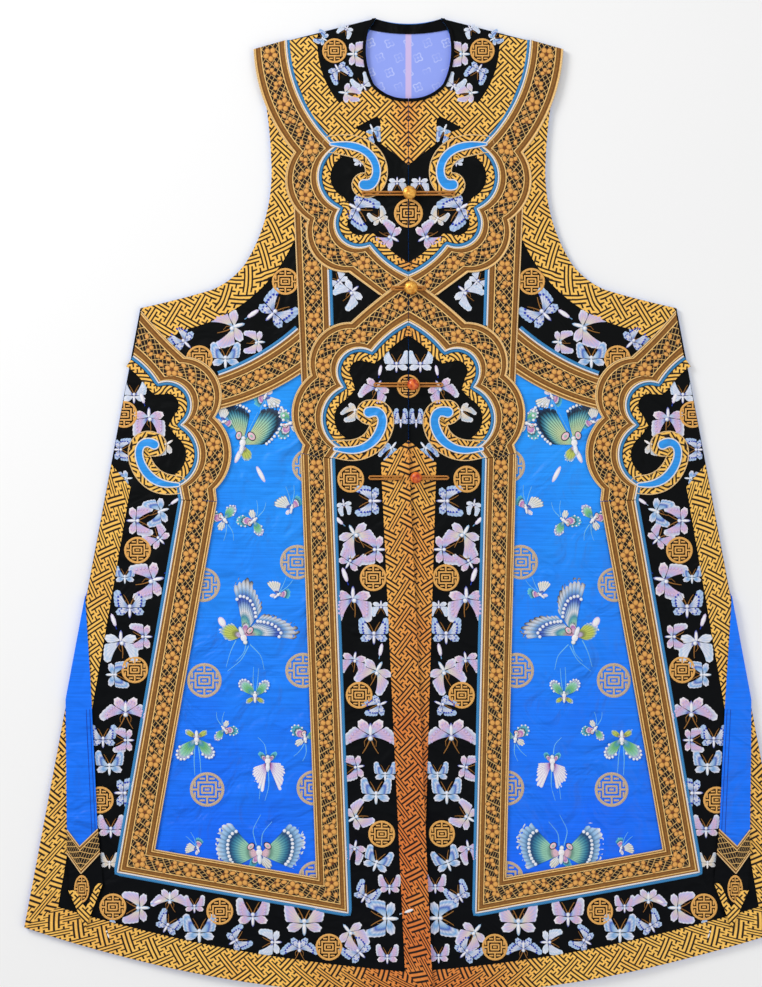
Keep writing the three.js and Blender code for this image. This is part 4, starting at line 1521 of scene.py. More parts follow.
GRANDS: dict[str, Grand] = {
    "green": Grand(
        (Wing(30, -14, 64, "green_pearl", FAN_REACH, 9, 0.04, 6),
         Wing(-28, -90, 78, "green_pearl", (0.8, 0.95, 1.0, 0.88, 0.7, 0.55, 0.42), 13, 0.04, 6),
         Wing(-128, -190, 27, "lime_fan", HIND_REACH, 5, 0.06, 0)),
        heading=-10,
        feelers=(((-3, 10), (-3, 34), (-6, 54)), ((-4, 10), (-14, 30), (-22, 46))),
        eyes=((5, 13, 4.8, 10), (-13, 12, 5.6, -40)),
        pearls=((0, 0.97, 2.2, 9), (1, 0.99, 2.3, 15)),
        tails=((-26, -42, 3.2, 13, -28), (6, -16, 3.5, 11, 24)),
    ),
    "dark": Grand(
        (Wing(12, -36, 86, "dark_edged", (0.9, 1.0, 0.98, 0.9, 0.78, 0.66, 0.54), 10, 0.05, 8),
         Wing(-94, -42, 82, "dark_edged", (0.92, 1.0, 0.93, 0.82, 0.7, 0.6, 0.52), 10, 0.05, 8),
         Wing(-40, 10, 30, "pink_teal", HIND_REACH, 5, 0.04, 0),
         Wing(38, 112, 36, "lime_fan", HIND_REACH, 9, 0.08, 0)),
        heading=-160,
        feelers=(((-8, -14), (2, -34), (22, -50)), ((-10, -12), (-26, -28), (-30, -48)),
                 ((10, -6), (18, -22), (24, -44)), ((-4, -12), (-2, -24), (10, -36))),
        eyes=((-10, 8, 4.6, 40),),
        pearls=((0, 0.66, 2.5, 9), (1, 0.66, 2.5, 9)),
        tails=((30, 20, 5, 8, -30),),
    ),
    "teal": Grand(
        (Wing(42, 118, 68, "teal_fan", FAN_REACH, 12, 0.04, 6),
         Wing(-44, -114, 72, "teal_fan", FAN_REACH, 12, 0.04, 6),
         Wing(-118, -168, 27, "white_fan", HIND_REACH, 5, 0.08, 0),
         Wing(122, 172, 24, "pink_teal", HIND_REACH, 5, 0.08, 0)),
        heading=4,
        feelers=(((4, 12), (10, 34), (-2, 56)), ((-3, 12), (-4, 30), (-18, 46))),
        eyes=((12, 11, 4.6, 48), (-12, 12, 4.6, -48)),
        pearls=((0, 0.72, 2.6, 11), (1, 0.72, 2.6, 11)),
    ),
    "moth": Grand(
        (Wing(172, 108, 44, "lilac_fan", (1.0, 0.9, 0.8, 0.72, 0.64, 0.56, 0.48), 8, 0.1, 0),
         Wing(-158, -92, 46, "lilac_fan", (1.0, 0.88, 0.76, 0.66, 0.58, 0.5, 0.44), 8, 0.1, 0),
         Wing(20, 62, 20, "pink_teal", HIND_REACH, 4, 0.04, 0),
         Wing(-20, -62, 20, "pink_teal", HIND_REACH, 4, 0.04, 0)),
        heading=0,
        feelers=(((2, 12), (3, 26), (14, 36)), ((2, -12), (10, -32), (12, -52)),
                 ((-1, -12), (-2, -34), (4, -54))),
        length=20,
    ),
    "sprite": Grand(
        (Wing(66, 14, 33, "mint_fan", HIND_REACH, 6, 0.06, 0),
         Wing(-18, -66, 30, "mint_fan", HIND_REACH, 6, 0.06, 0),
         Wing(104, 150, 16, "lime_fan", HIND_REACH, 3, 0.06, 0),
         Wing(-104, -150, 16, "lime_fan", HIND_REACH, 3, 0.06, 0)),
        heading=0,
        feelers=(((2, 8), (3, 24), (2, 42)), ((-2, 8), (-4, 24), (-5, 40))),
        pearls=((0, 0.93, 1.7, 8), (1, 0.93, 1.7, 8)),
        length=14,
    ),
    "lobed": Grand(
        (Wing(100, 30, 27, "pink_teal", HIND_REACH, 5, 0.1, 0),
         Wing(-20, -80, 26, "mint_fan", HIND_REACH, 5, 0.1, 0),
         Wing(120, 180, 18, "white_fan", HIND_REACH, 4, 0.1, 0)),
        heading=-150,
        feelers=(((-4, -8), (-10, -20), (-8, -32)), ((-2, -8), (0, -20), (6, -30))),
        eyes=((4, 6, 3.4, 20),),
        pearls=((0, 0.9, 1.5, 6), (1, 0.9, 1.5, 6)),
        length=13,
    ),
    "small_fan": Grand(
        (Wing(84, 24, 26, "white_fan", FAN_REACH, 6, 0.1, 0),
         Wing(-16, -70, 22, "pink_teal", FAN_REACH, 5, 0.08, 0),
         Wing(110, 160, 12, "lilac_fan", HIND_REACH, 3, 0.06, 0)),
        heading=-10,
        feelers=(((0, 6), (-4, 20), (-3, 32)), ((1, 6), (4, 20), (8, 30))),
        length=11,
    ),
}


@dataclass(frozen=True)
class Flight:
    """Where a butterfly lies: its chest, its heading from up towards +x, and its span."""

    x: float
    y: float
    heading: float
    span: float
    palette: str
    pose: Pose
    tail: bool = False


SPREAD, RAISED, TURNED, SWEPT, FOLDED = Pose

# Rows of Flight values.
FLIGHTS: dict[str, list[tuple]] = {
    "yoke": [
        (100, 623, -150, 33, "inked", SPREAD), (77, 645, -90, 38, "rose", SPREAD),
        (90, 590, -120, 34, "rose", FOLDED), (64, 600, 60, 30, "pearl", TURNED),
        (88, 681, 150, 22, "pearl", SPREAD), (121, 667, 60, 22, "sky", SPREAD),
    ],
    "chest": [
        (16, 463, 180, 28, "pearl", SPREAD), (68, 491, 0, 22, "pearl", SPREAD),
        (74, 426, -120, 51, "inked", SPREAD), (41, 411, 30, 28, "cream", SPREAD),
        (24, 385, 90, 43, "lilac", TURNED), (51, 538, 180, 30, "sky", FOLDED),
    ],
    "under_chest": [
        (98, 322, 45, 30, "pearl", SPREAD), (80, 308, 160, 42, "pearl", TURNED),
    ],
    "mid": [
        (17, 203, 0, 38, "pearl", SPREAD), (45, 171, 180, 43, "lilac", TURNED, True),
        (74, 139, 100, 34, "cream", FOLDED), (11, 122, 0, 30, "inked", RAISED),
        (23, 86, 120, 34, "sky", FOLDED),
    ],
    "arm": [
        (192, 277, -45, 54, "inked", SPREAD), (248, 258, 135, 56, "rose", TURNED, True),
        (214, 236, 120, 36, "rose", TURNED), (260, 211, 0, 45, "sky", SPREAD),
        (318, 236, 45, 43, "inked", RAISED),
    ],
    "side_cloud": [
        (390, 159, 0, 38, "pearl", SPREAD), (369, 129, -150, 51, "lilac", TURNED, True),
        (343, 91, 100, 34, "cream", FOLDED), (411, 83, -90, 34, "inked", SPREAD),
        (400, 42, 70, 28, "sky", FOLDED),
    ],
    "centre_band": [
        (92, 6, -170, 26, "pearl", RAISED), (51, 10, 90, 46, "inked", SPREAD),
        (77, -37, -120, 52, "rose", TURNED, True), (45, -59, 90, 46, "lilac", SPREAD),
        (84, -77, -30, 38, "lilac", SPREAD), (79, -128, -150, 60, "lilac", TURNED, True),
        (39, -139, 180, 28, "pearl", SPREAD), (49, -181, 0, 46, "inked", SPREAD),
        (77, -215, -160, 40, "lilac", TURNED), (45, -231, 180, 52, "rose", TURNED, True),
        (40, -279, 90, 38, "inked", FOLDED), (54, -323, 180, 62, "lilac", SWEPT),
        (73, -368, 100, 38, "lilac", SPREAD), (33, -379, 0, 34, "sky", SPREAD),
        (46, -408, 0, 46, "sky", SPREAD), (76, -440, -60, 42, "rose", SPREAD),
        (76, -482, 170, 38, "lilac", RAISED), (46, -505, -20, 42, "sky", SPREAD),
        (62, -552, -30, 37, "inked", SPREAD), (27, -539, 0, 34, "lilac", SPREAD),
    ],
    "hem": [
        (30, -583, 90, 56, "sky", SPREAD, True), (30, -638, 0, 34, "lilac", SPREAD),
        (70, -631, 45, 42, "inked", SPREAD), (84, -602, -140, 48, "rose", RAISED),
        (148, -591, 0, 60, "rose", SPREAD), (155, -626, 180, 42, "inked", SWEPT),
        (191, -617, 90, 40, "pearl", SPREAD), (221, -581, 0, 50, "lilac", SPREAD),
        (246, -615, -60, 37, "inked", SPREAD), (297, -604, 0, 50, "sky", SPREAD),
        (304, -567, 0, 31, "lilac", SPREAD), (339, -557, 180, 42, "rose", SWEPT),
        (343, -594, -30, 38, "inked", SPREAD), (381, -568, 90, 48, "rose", SPREAD, True),
        (428, -604, 20, 34, "sky", SPREAD),
    ],
    "side_band": [
        (352, -4, 135, 42, "sky", TURNED, True), (388, -18, -90, 46, "lilac", SPREAD),
        (354, -44, 45, 37, "lilac", SPREAD), (403, -99, 0, 31, "sky", SPREAD),
        (363, -102, 130, 57, "lilac", TURNED, True), (396, -143, 0, 48, "inked", SPREAD),
        (409, -189, -150, 54, "pearl", TURNED, True), (375, -183, 90, 40, "lilac", SPREAD),
        (419, -237, -90, 40, "sky", SPREAD), (402, -290, 180, 57, "lilac", SWEPT),
        (434, -330, 0, 40, "inked", SPREAD), (400, -330, 90, 37, "lilac", SPREAD),
        (425, -368, 0, 43, "sky", SPREAD), (406, -405, -90, 45, "inked", SPREAD),
        (423, -458, 0, 40, "lilac", SPREAD), (425, -505, 0, 28, "cream", SPREAD),
    ],
}


@dataclass(frozen=True)
class GrandPlace:
    """Where a large butterfly of the blue panel lies."""

    kind: str
    x: float
    y: float
    heading: float = 0.0
    scale: float = 1.0
    mirrored: bool = False


# Rows of GrandPlace values.
GRAND_PLACES: list[tuple] = [
    ("small_fan", 203, 160, 170), ("lobed", 169, 120, 80),
    ("small_fan", 264, 122, -60), ("green", 236, 90),
    ("small_fan", 166, -1, 0, 1.05), ("lobed", 262, -16, 10),
    ("lobed", 220, -18, 160, 0.95, True), ("small_fan", 186, -124, -40, 0.95),
    ("dark", 235, -182), ("sprite", 218, -268),
    ("sprite", 301, -327, 180, 1.25, True), ("lobed", 262, -314, 190, 0.8),
    ("lobed", 147, -327, -20), ("moth", 200, -362),
    ("small_fan", 299, -484, 30, 0.8), ("teal", 212, -492),
]


@dataclass(frozen=True)
class RoundelPlace:
    """Where a round fret medallion lies, and its radius."""

    x: float
    y: float
    radius: float = 19.0


ROUNDELS_ON_BLACK = [
    RoundelPlace(105, 650, 17.5), RoundelPlace(175, 322), RoundelPlace(297, 212),
    RoundelPlace(404, 133), RoundelPlace(82, 41), RoundelPlace(50, -99),
    RoundelPlace(70, -266), RoundelPlace(38, -463), RoundelPlace(385, -60),
    RoundelPlace(389, -230), RoundelPlace(438, -415), RoundelPlace(420, -567),
    RoundelPlace(268, -573), RoundelPlace(113, -624), RoundelPlace(0, 419, 20.5),
    RoundelPlace(0, 173, 16.5),
]
ROUNDELS_ON_BLUE = [
    RoundelPlace(141, 60, 24.5), RoundelPlace(158, -77, 24.5), RoundelPlace(292, -109, 24.5),
    RoundelPlace(290, -245, 24.5), RoundelPlace(150, -231, 25), RoundelPlace(286, -400, 24.5),
    RoundelPlace(134, -398, 25), RoundelPlace(132, -527, 25),
]


# ---------------------------------------------------------------- trimmings


def piping(motif: Motif, line: np.ndarray, aside: float | np.ndarray, width: float, height: float,
           base: float, tint: Colour = WHITE) -> None:
    """Add a rounded piping beside a line.

    Args:
        motif: what it becomes part of.
        line: the line that it follows.
        aside: how far its middle is from the line, positive on the left of the way along.
        width: its width.
        height: how far it stands up.
        base: how high its sides are.
        tint: its colour, where the finish uses one.
    """
    along = lengths_along(line)
    points, uvs = [], []
    for share in (-1.0, -0.62, 0.0, 0.62, 1.0):
        edge = moved_aside(line, np.asarray(aside) + share * width / 2)
        rise = np.full((len(line), 1), base + height * math.sqrt(1 - share * share))
        points.append(np.hstack([edge, rise]))
        uvs.append(np.column_stack([along, np.full(len(line), share * width / 2)]) * MM)
    motif.add(np.concatenate(points), grid_faces(len(points) - 1, len(line) - 1),
              np.concatenate(uvs), np.tile(tint, (len(line) * len(points), 1)))


def runs_outside(line: np.ndarray, rings: Sequence[np.ndarray]) -> list[np.ndarray]:
    """The stretches of a line that no outline covers."""
    covered = np.zeros(len(line), bool)
    for ring in rings:
        covered |= inside(line, ring)
    runs, start = [], None
    for i, hidden in enumerate([*covered.tolist(), True]):
        if not hidden and start is None:
            start = i
        if hidden and start is not None:
            if i - start > 2:
                runs.append(line[start:i])
            start = None
    return runs


def away_sign(line: np.ndarray, other: np.ndarray) -> float:
    """Which way from a line leads away from another, as a sign for `moved_aside`."""
    middle = len(line) // 2
    way = headings(line)[middle]
    off = line[middle] - other[min(middle, len(other) - 1)]
    return 1.0 if way[0] * off[1] - way[1] * off[0] > 0 else -1.0


def capsule(start: Row, end: Row, extra: float) -> np.ndarray:
    """The outline of two rounds of given radius and what lies between them."""
    (ax, ay, first), (bx, by, second) = start, end
    angle = math.atan2(by - ay, bx - ax)
    places = []
    for x, y, radius, turn in ((bx, by, second, -1), (ax, ay, first, 1)):
        for i in range(9):
            way = angle + (math.pi / 2) * turn + math.pi * i / 8
            places.append((x + (radius + extra) * math.cos(way),
                           y + (radius + extra) * math.sin(way)))
    return np.array(places)


def scroll_rounds(rows: Rows, extra: float) -> list[np.ndarray]:
    """Outlines that together make a smooth scroll, or its rim when grown by some extra."""
    places = np.array(rows, float)
    at = np.arange(len(rows))
    fine = np.linspace(0, len(rows) - 1, (len(rows) - 1) * 4 + 1)
    columns = [np.interp(fine, at, places[:, c]) for c in range(3)]
    line = np.column_stack(columns)
    for _ in range(5):
        line[1:-1] = (line[:-2] + line[1:-1] * 2 + line[2:]) / 4
    line[:, 2] *= SCROLL_HALF
    return [capsule(tuple(a), tuple(b), extra) for a, b in zip(line, line[1:])]


def scroll_patch(rows: Rows, extra: float, without: Sequence[np.ndarray] = ()) -> Shell:
    """A whole scroll or its rim as one piece, its weave along the scroll's middle."""
    guide = edge_line([(x, y, 0) for x, y, _ in rows], 3)
    return filled(scroll_rounds(rows, extra), without, np.empty((0, 2)), guide, 1e-3)


def loops_round(shell: Shell) -> list[np.ndarray]:
    """The closed outlines of a piece, each as a line that ends where it starts."""
    onward = dict(ring_edges(shell.faces))
    loops = []
    while onward:
        start, place = onward.popitem()
        order = [start]
        while place != start and place in onward:
            order.append(place)
            place = onward.pop(place)
        if len(order) > 8:
            line = shell.points[[*order, start]]
            loops.append(spaced(line, max(12, int(lengths_along(line)[-1] / 3))))
    return loops


def joined(shells: Sequence[Shell]) -> Shell:
    """Several flat pieces as one."""
    points, faces, uvs, start = [], [], [], 0
    for shell in shells:
        faces += [tuple(i + start for i in f) for f in shell.faces]
        points.append(shell.points)
        uvs.append(shell.uvs)
        start += len(shell.points)
    return Shell(np.concatenate(points), faces, np.concatenate(uvs))


def finish_piece(thing: bpy.types.Object, slot: str | None, *nodes: str) -> bpy.types.Object:
    """Attach a piece to the garment's body and let it stand for its frame nodes."""
    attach(thing, "root")
    if nodes:
        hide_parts(*nodes)
    return thing


def declare(shell: Shell,
            size: tuple[float, float] | None = None,
            with_pieces: Sequence[bpy.types.Object] = ()) -> None:
    """Work out the width, length and area of a cloth piece's cut, which are not kept.

    Args:
        shell: its flat shape.
        size: its width and length in millimetres, unless its own axes give them.
        with_pieces: what is sewn to it; it is not used.

    A narrow curved piece counts as a band of its average width, as long as half the way
    round its outline.
    """
    if size is None:
        low, high = shell.points.min(axis=0), shell.points.max(axis=0)
        size = (high[0] - low[0], high[1] - low[1])
    area = shell.area()
    if area < 0.35 * size[0] * size[1]:
        ends = np.array([[shell.points[a], shell.points[b]] for a, b in ring_edges(shell.faces)])
        long_side = float(np.linalg.norm(ends[:, 1] - ends[:, 0], axis=1).sum()) / 2
        size = (area / long_side, long_side)
    width, length = max(size[0], 10.0), max(size[1], 10.0)
    area = min(area, width * length)
    width * MM
    length * MM
    area * MM * MM


def strip_size(first: np.ndarray, second: np.ndarray) -> tuple[float, float]:
    """The width and length to which a strip between two lines is cut."""
    width = float(np.linalg.norm(second - first, axis=1).max())
    return width, float(max(lengths_along(first)[-1], lengths_along(second)[-1]))


# ---------------------------------------------------------------- modelled prototypes


def only(thing: bpy.types.Object) -> None:
    """Make one object the only selected and the active one."""
    bpy.ops.object.select_all(action="DESELECT")
    thing.select_set(True)
    bpy.context.view_layer.objects.active = thing


def applied(thing: bpy.types.Object, kind: str, **settings: object) -> None:
    """Add a modifier with the given settings and apply it."""
    only(thing)
    modifier = thing.modifiers.new(kind.title(), kind)
    for key, value in settings.items():
        setattr(modifier, key, value)
    bpy.ops.object.modifier_apply(modifier=modifier.name)


@dataclass
class RoundelModel:
    """A round fret medallion of radius one: a ring with symmetric bars inside it."""

    ring: float = 0.92
    ring_wall: float = 0.085
    bar_height: float = 0.06
    bars: tuple[tuple[float, float, float, float], ...] = (
        (0.0, 0.0, 0.14, 0.06), (0.0, 0.19, 0.32, 0.06), (0.3, 0.0, 0.06, 0.22),
        (0.0, 0.41, 0.5, 0.06), (0.51, 0.24, 0.06, 0.23), (0.0, 0.66, 0.06, 0.22),
        (0.69, 0.0, 0.2, 0.06), (0.28, 0.63, 0.16, 0.055), (0.71, 0.3, 0.055, 0.16),
    )

    def build(self) -> tuple[np.ndarray, list[tuple[int, ...]]]:
        """Model it and return its places and faces."""
        bpy.ops.object.select_all(action="DESELECT")
        bpy.ops.mesh.primitive_torus_add(major_radius=self.ring, minor_radius=self.ring_wall,
                                         major_segments=28, minor_segments=6)
        ring = bpy.context.object
        parts = [ring]
        for x, y, half_x, half_y in self.bars:
            for sign_x in ((1, -1) if x else (1,)):
                for sign_y in ((1, -1) if y else (1,)):
                    bpy.ops.mesh.primitive_cube_add(size=2, location=(x * sign_x, y * sign_y, 0))
                    bar = bpy.context.object
                    bar.scale = (half_x, half_y, self.bar_height)
                    bpy.ops.object.transform_apply(location=True, rotation=True, scale=True)
                    bpy.ops.object.mode_set(mode="EDIT")
                    bpy.ops.mesh.select_all(action="SELECT")
                    bpy.ops.mesh.bevel(offset=0.022, segments=1, affect="EDGES")
                    bpy.ops.object.mode_set(mode="OBJECT")
                    parts.append(bar)
        bpy.ops.object.select_all(action="DESELECT")
        for part in parts:
            part.select_set(True)
        bpy.context.view_layer.objects.active = ring
        bpy.ops.object.join()
        places = np.array([tuple(v.co) for v in ring.data.vertices])
        faces = [tuple(p.vertices) for p in ring.data.polygons]
        bpy.data.objects.remove(ring)
        return places, faces


def lay_roundels(name: str, model: tuple[np.ndarray, list[tuple[int, ...]]],
                 places: Sequence[RoundelPlace], surface: FrontSurface, level: float,
                 material: bpy.types.Material, squeeze: float = 1.0) -> bpy.types.Object:
    """Copies of the medallion, each bent to the cloth that it lies on.

    Args:
        name: the object's name.
        model: places and faces of the medallion of radius one.
        places: where the copies lie.
        surface: the front that they lie on.
        level: height of the cloth.
        material: their finish.
        squeeze: width of a copy for its height.

    Returns:
        The new object.
    """
    shape, ring = model
    tops, flats, faces = [], [], []
    for i, place in enumerate(places):
        flat = shape * place.radius
        flat[:, 0] = flat[:, 0] * squeeze + place.x
        flat[:, 1] += place.y
        flat[:, 2] = np.clip(shape[:, 2] * ROUNDEL_RISE, -ROUNDEL_DEPTH, ROUNDEL_TOP)
        trim_to_front(flat)
        tops.append(surface.place(flat[:, :2], level + flat[:, 2] + ROUNDEL_LIFT))
        flats.append(flat[:, :2] * MM)
        faces += [tuple(v + i * len(shape) for v in f) for f in ring]
    if surface.side is Side.LEFT:
        faces = [tuple(reversed(f)) for f in faces]
    return new_object(name, np.concatenate(tops), faces, np.concatenate(flats), material,
                      ROUNDEL_SMOOTH_ANGLE)


@dataclass
class ButtonModel:
    """A chased round button that stands on a short foot."""

    x: float
    y: float
    radius: float
    reach: float
    level: float
    gilt: bool

    def build(self, name: str, foot: float, material: bpy.types.Material) -> bpy.types.Object:
        """Model it with its foot at a height in millimetres."""
        bpy.ops.object.select_all(action="DESELECT")
        bpy.ops.mesh.primitive_uv_sphere_add(segments=24, ring_count=14, radius=1.0)
        thing = bpy.context.object
        thing.name = name
        thing.scale = (1.0, 1.0, 0.76)
        bpy.ops.object.transform_apply(location=True, rotation=True, scale=True)
        bpy.ops.object.mode_set(mode="EDIT")
        bpy.ops.mesh.select_all(action="SELECT")
        bpy.ops.mesh.inset(thickness=0.022, depth=0.03 if self.gilt else 0.004,
                           use_individual=True)
        bpy.ops.object.mode_set(mode="OBJECT")
        applied(thing, "BEVEL", width=0.006, segments=1, limit_method="ANGLE")
        thing.scale = (self.radius * MM,) * 3
        thing.location = (self.x * MM, self.y * MM, (foot + self.radius * 0.76) * MM)
        only(thing)
        bpy.ops.object.transform_apply(location=True, rotation=True, scale=True)
        bpy.ops.object.shade_smooth()
        thing.data.materials.clear()
        thing.data.materials.append(material)
        return thing


# ---------------------------------------------------------------- sub-assemblies


@dataclass
class BackPanel:
    """The back of the garment with the lining and the binding that show in the neck."""

    finishes: Finishes
    neck_half: float = 46.0
    neck_bow: float = 7.0
    hem_bow: float = 88.0
    lining: Rows = ((-48, 692, -7), (48, 692, 0), (72, 650, 0), (68, 620, 0), (62, 575, 0), (0, 552, 0),
                    (-62, 575, 0), (-68, 620, 0), (-72, 650, 0))

    def dress(self) -> None:
        """Build all of it."""
        flat = FlatSurface()
        right = edge_line([*ARMHOLE, HEM_CORNER], 6)
        left = right[::-1] * (-1, 1)
        hem = edge_line([(546, -596, self.hem_bow), (-546, -596, 0)], 8)
        neck = edge_line([(-self.neck_half, SHOULDER_Y, -self.neck_bow),
                          (self.neck_half, SHOULDER_Y, 0)], 6)
        ring = np.concatenate([neck, right, hem[1:-1], left])
        shell = patch(ring, spacing=22)
        panel = lay("cloth_back", shell, flat, BACK_WALL, BACK_WALL, self.finishes.back)
        finish_piece(panel, "blue_satin", "back_panel")
        declare(shell)

        shell = patch(outline(self.lining, 6), spacing=9)
        lining = lay("cloth_lining", shell, flat, 2.8, THIN_WALL, self.finishes.damask)
        finish_piece(lining, "lilac_damask", "back_lining")
        declare(shell)

        first = spaced(edge_line([(-45.5, 695.5, -8), (45.5, 695.5, 0)], 4), 30)
        second = spaced(edge_line([(-63, 682, -8), (63, 682, 0)], 4), 30)
        shell = strip(first, second, 4)
        binding = lay("cloth_back_binding", shell, flat, 4.1, THIN_WALL, self.finishes.binding)
        finish_piece(binding, "black_binding", "back_neck_binding")
        declare(shell, strip_size(first, second))


@dataclass
class FrontPart:
    """What each sub-assembly of a front has: its side, the shape it lies in and its finishes."""

    side: Side
    surface: FrontSurface
    finishes: Finishes

    def cloth(self, name: str, node: str, shell: Shell, level: float,
              material: bpy.types.Material, slot: str, wall: float = THIN_WALL
              ) -> bpy.types.Object:
        """Lay a piece of cloth on the front, in place of a frame node.

        Args:
            name: its name, without the side.
            node: the frame node, without the side.
            shell: its flat shape.
            level: the height of its top.
            material: its finish.
            slot: the name of a material slot; it is not used.
            wall: its thickness.

        Returns:
            The new piece.
        """
        piece = lay(f"{name}_{self.side.word}", shell, self.surface, level, wall, material)
        return finish_piece(piece, slot, f"{node}_{self.side.word}")

    def sewn(self, motif: Motif, name: str, material: bpy.types.Material, level: float = 0.0,
             covers: Sequence[np.ndarray] = (), hem: bool = False) -> bpy.types.Object:
        """Sew a motif to the front, which replaces no frame node."""
        name = f"{name}_{self.side.word}"
        return finish_piece(motif.sew(name, self.surface, level, material, covers, hem), None)


@dataclass
class FrontPanel(FrontPart):
    """The blue satin of one front and the black satin frame sewn on it."""

    spacing: float = 8.5
    blue_wall: float = 1.2
    binding_width: float = 4.5

    def dress(self) -> None:
        """Build both cloths and the binding of the neck."""
        ring = outline(FRONT, 6)
        shell = patch(ring, spacing=self.spacing)
        blue = self.cloth("cloth_front", "front", shell, Level.PANEL, self.finishes.blue,
                          "blue_satin", self.blue_wall)
        declare(shell)

        shell = patch(ring, [outline(WINDOW, 6)], self.spacing)
        black = self.cloth("cloth_black", "black_ground", shell, Level.GROUND,
                           self.finishes.black, "black_satin")
        declare(shell)

        neck = edge_line(NECKLINE, 3)
        inner = moved_aside(neck, self.binding_width)
        inner[:, 1] = np.minimum(inner[:, 1], SHOULDER_Y - 0.5)
        shell = strip(neck, inner, 2)
        binding = self.cloth("cloth_neck_binding", "neck_binding", shell, Level.TOP,
                             self.finishes.binding, "black_binding")
        declare(shell, strip_size(neck, inner))


@dataclass
class Ribbons(FrontPart):
    """The woven ribbons of one front with their pipings and their woven sprigs."""

    cream: float = 1.9
    white: float = 2.4
    blue: float = 4.4
    blossom_step: float = 74.0
    first_blossom: float = 14.0
    end_margin: float = 4.0
    sprig_rise: float = 0.014
    rings: dict[str, np.ndarray] = field(default_factory=dict)

    def __post_init__(self) -> None:
        """Work out each ribbon's outline."""
        for name, cut in RIBBONS.items():
            first, second = side_by_side(cut.outer, cut.inner, 4)
            self.rings[name] = np.concatenate([first, second[::-1]])

    def above(self, name: str) -> list[np.ndarray]:
        """Outlines of the ribbons that cross over one."""
        lift = RIBBONS[name].lift
        return [self.rings[other] for other, cut in RIBBONS.items() if cut.lift > lift]

    def dress(self) -> None:
        """Build the ribbons and everything on them."""
        cream, white, blue, sprigs = Motif(), Motif(), Motif(), Motif()
        flowers = (blossom(5), blossom(3), blossom(1))
        sheets = []
        for name, cut in RIBBONS.items():
            first, second = side_by_side(cut.outer, cut.inner, 4)
            shell = strip(first, second, 6)
            level = Level.TRIM + cut.lift
            ribbon = self.cloth(f"ribbon_silk_{name}", f"ribbon_{name}", shell, level,
                                self.finishes.ribbon, "ribbon_brocade")
            sheets.append((ribbon, shell, strip_size(first, second)))
            away = away_sign(second, first)
            for run in runs_outside(second, self.above(name)):
                piping(white, run, away * 0.2, self.white, 0.9, level - 0.1)
                piping(blue, run, away * 3.5, self.blue, 1.0, Level.TRIM - 0.9)
            for run in runs_outside(first, self.above(name)):
                piping(cream, run, away * 0.7, self.cream, 0.8, level - 0.1)
            self.sprig(sprigs, name, (first + second) / 2, flowers, level)
        made = [
            self.sewn(cream, "piping_cream", self.finishes.cream_piping),
            self.sewn(white, "piping_white", self.finishes.white_piping),
            self.sewn(blue, "piping_blue", self.finishes.blue_piping),
            self.sewn(sprigs, "sprigs", self.finishes.floss),
        ]
        for i, (ribbon, shell, size) in enumerate(sheets):
            declare(shell, size,
                    made if i == 0 else ())

    def sprig(self, motif: Motif, name: str, middle: np.ndarray,
              shapes: tuple[Motif, Motif, Motif], level: float) -> None:
        """Add the flowers along one ribbon."""
        flower, half_flower, bud = shapes
        along = lengths_along(middle)
        way = headings(middle)
        covers = self.above(name)
        pattern = (
            (0.0, 0.0, flower, 11.0), (14.5, 6.4, bud, 5.4), (16.0, -6.4, bud, 5.4),
            (27.0, 3.4, half_flower, 8.6), (36.5, -7.2, bud, 4.8), (47.0, -2.8, half_flower, 9.0),
            (58.5, 6.6, bud, 5.2), (61.0, -6.6, bud, 5.2),
        )
        at = self.first_blossom - self.blossom_step
        while at < along[-1]:
            for ahead, aside, shape, size in pattern:
                place = at + ahead
                if not self.end_margin < place < along[-1] - self.end_margin:
                    continue
                x, y = (float(np.interp(place, along, middle[:, c])) for c in (0, 1))
                heading = np.array([float(np.interp(place, along, way[:, c])) for c in (0, 1)])
                x, y = x - heading[1] * aside, y + heading[0] * aside
                if any(inside(np.array([[x, y]]), ring)[0] for ring in covers):
                    continue
                angle = math.degrees(math.atan2(heading[0], heading[1]))
                lifted = Motif()
                lifted.copy_from(shape, angle + ahead * 3, size, x, y)
                lifted.points = [np.column_stack([p[:, :2], p[:, 2] * self.sprig_rise + level])
                                 for p in lifted.points]
                motif.copy_from(lifted, 0, 1, 0, 0)
            at += self.blossom_step


BLOSSOM_GOLD = linear(236, 172, 90)
BLOSSOM_RIM = linear(122, 70, 26)
BLOSSOM_HEART = linear(120, 66, 34)


def blossom(petals: int) -> Motif:
    """A gold flower with round petals about a darker middle, or one leaf-like bud."""
    motif = Motif()
    if petals == 1:
        motif.dome(0, 0, 0.62, 0.95, 6.0, BLOSSOM_GOLD, BLOSSOM_RIM, 25, 7)
        return motif
    for i in range(petals):
        angle = i * 360 / 5
        way = math.radians(angle)
        motif.dome(0.58 * math.sin(way), 0.58 * math.cos(way), 0.4, 0.44, 6.0, BLOSSOM_GOLD,
                   BLOSSOM_RIM, -angle, 7)
    motif.dome(0, 0, 0.2, 0.2, 3.5, BLOSSOM_HEART, BLOSSOM_RIM, 0, 7, base=4)
    return motif


EDGE_STRIPS: list[tuple[Rows, Rows]] = [
    ([(0.5, 96, 0), (-35, -696, 0)], [(39, 64, 0), (5, -658, 0)]),
    ([(-35, -696, -23), (546, -596, 0)], [(5, -658, -14), (498, -567, 0)]),
    ([(546, -596, 0), (422, 62, 0)], [(498, -567, 0), (395, 30, 0)]),
]


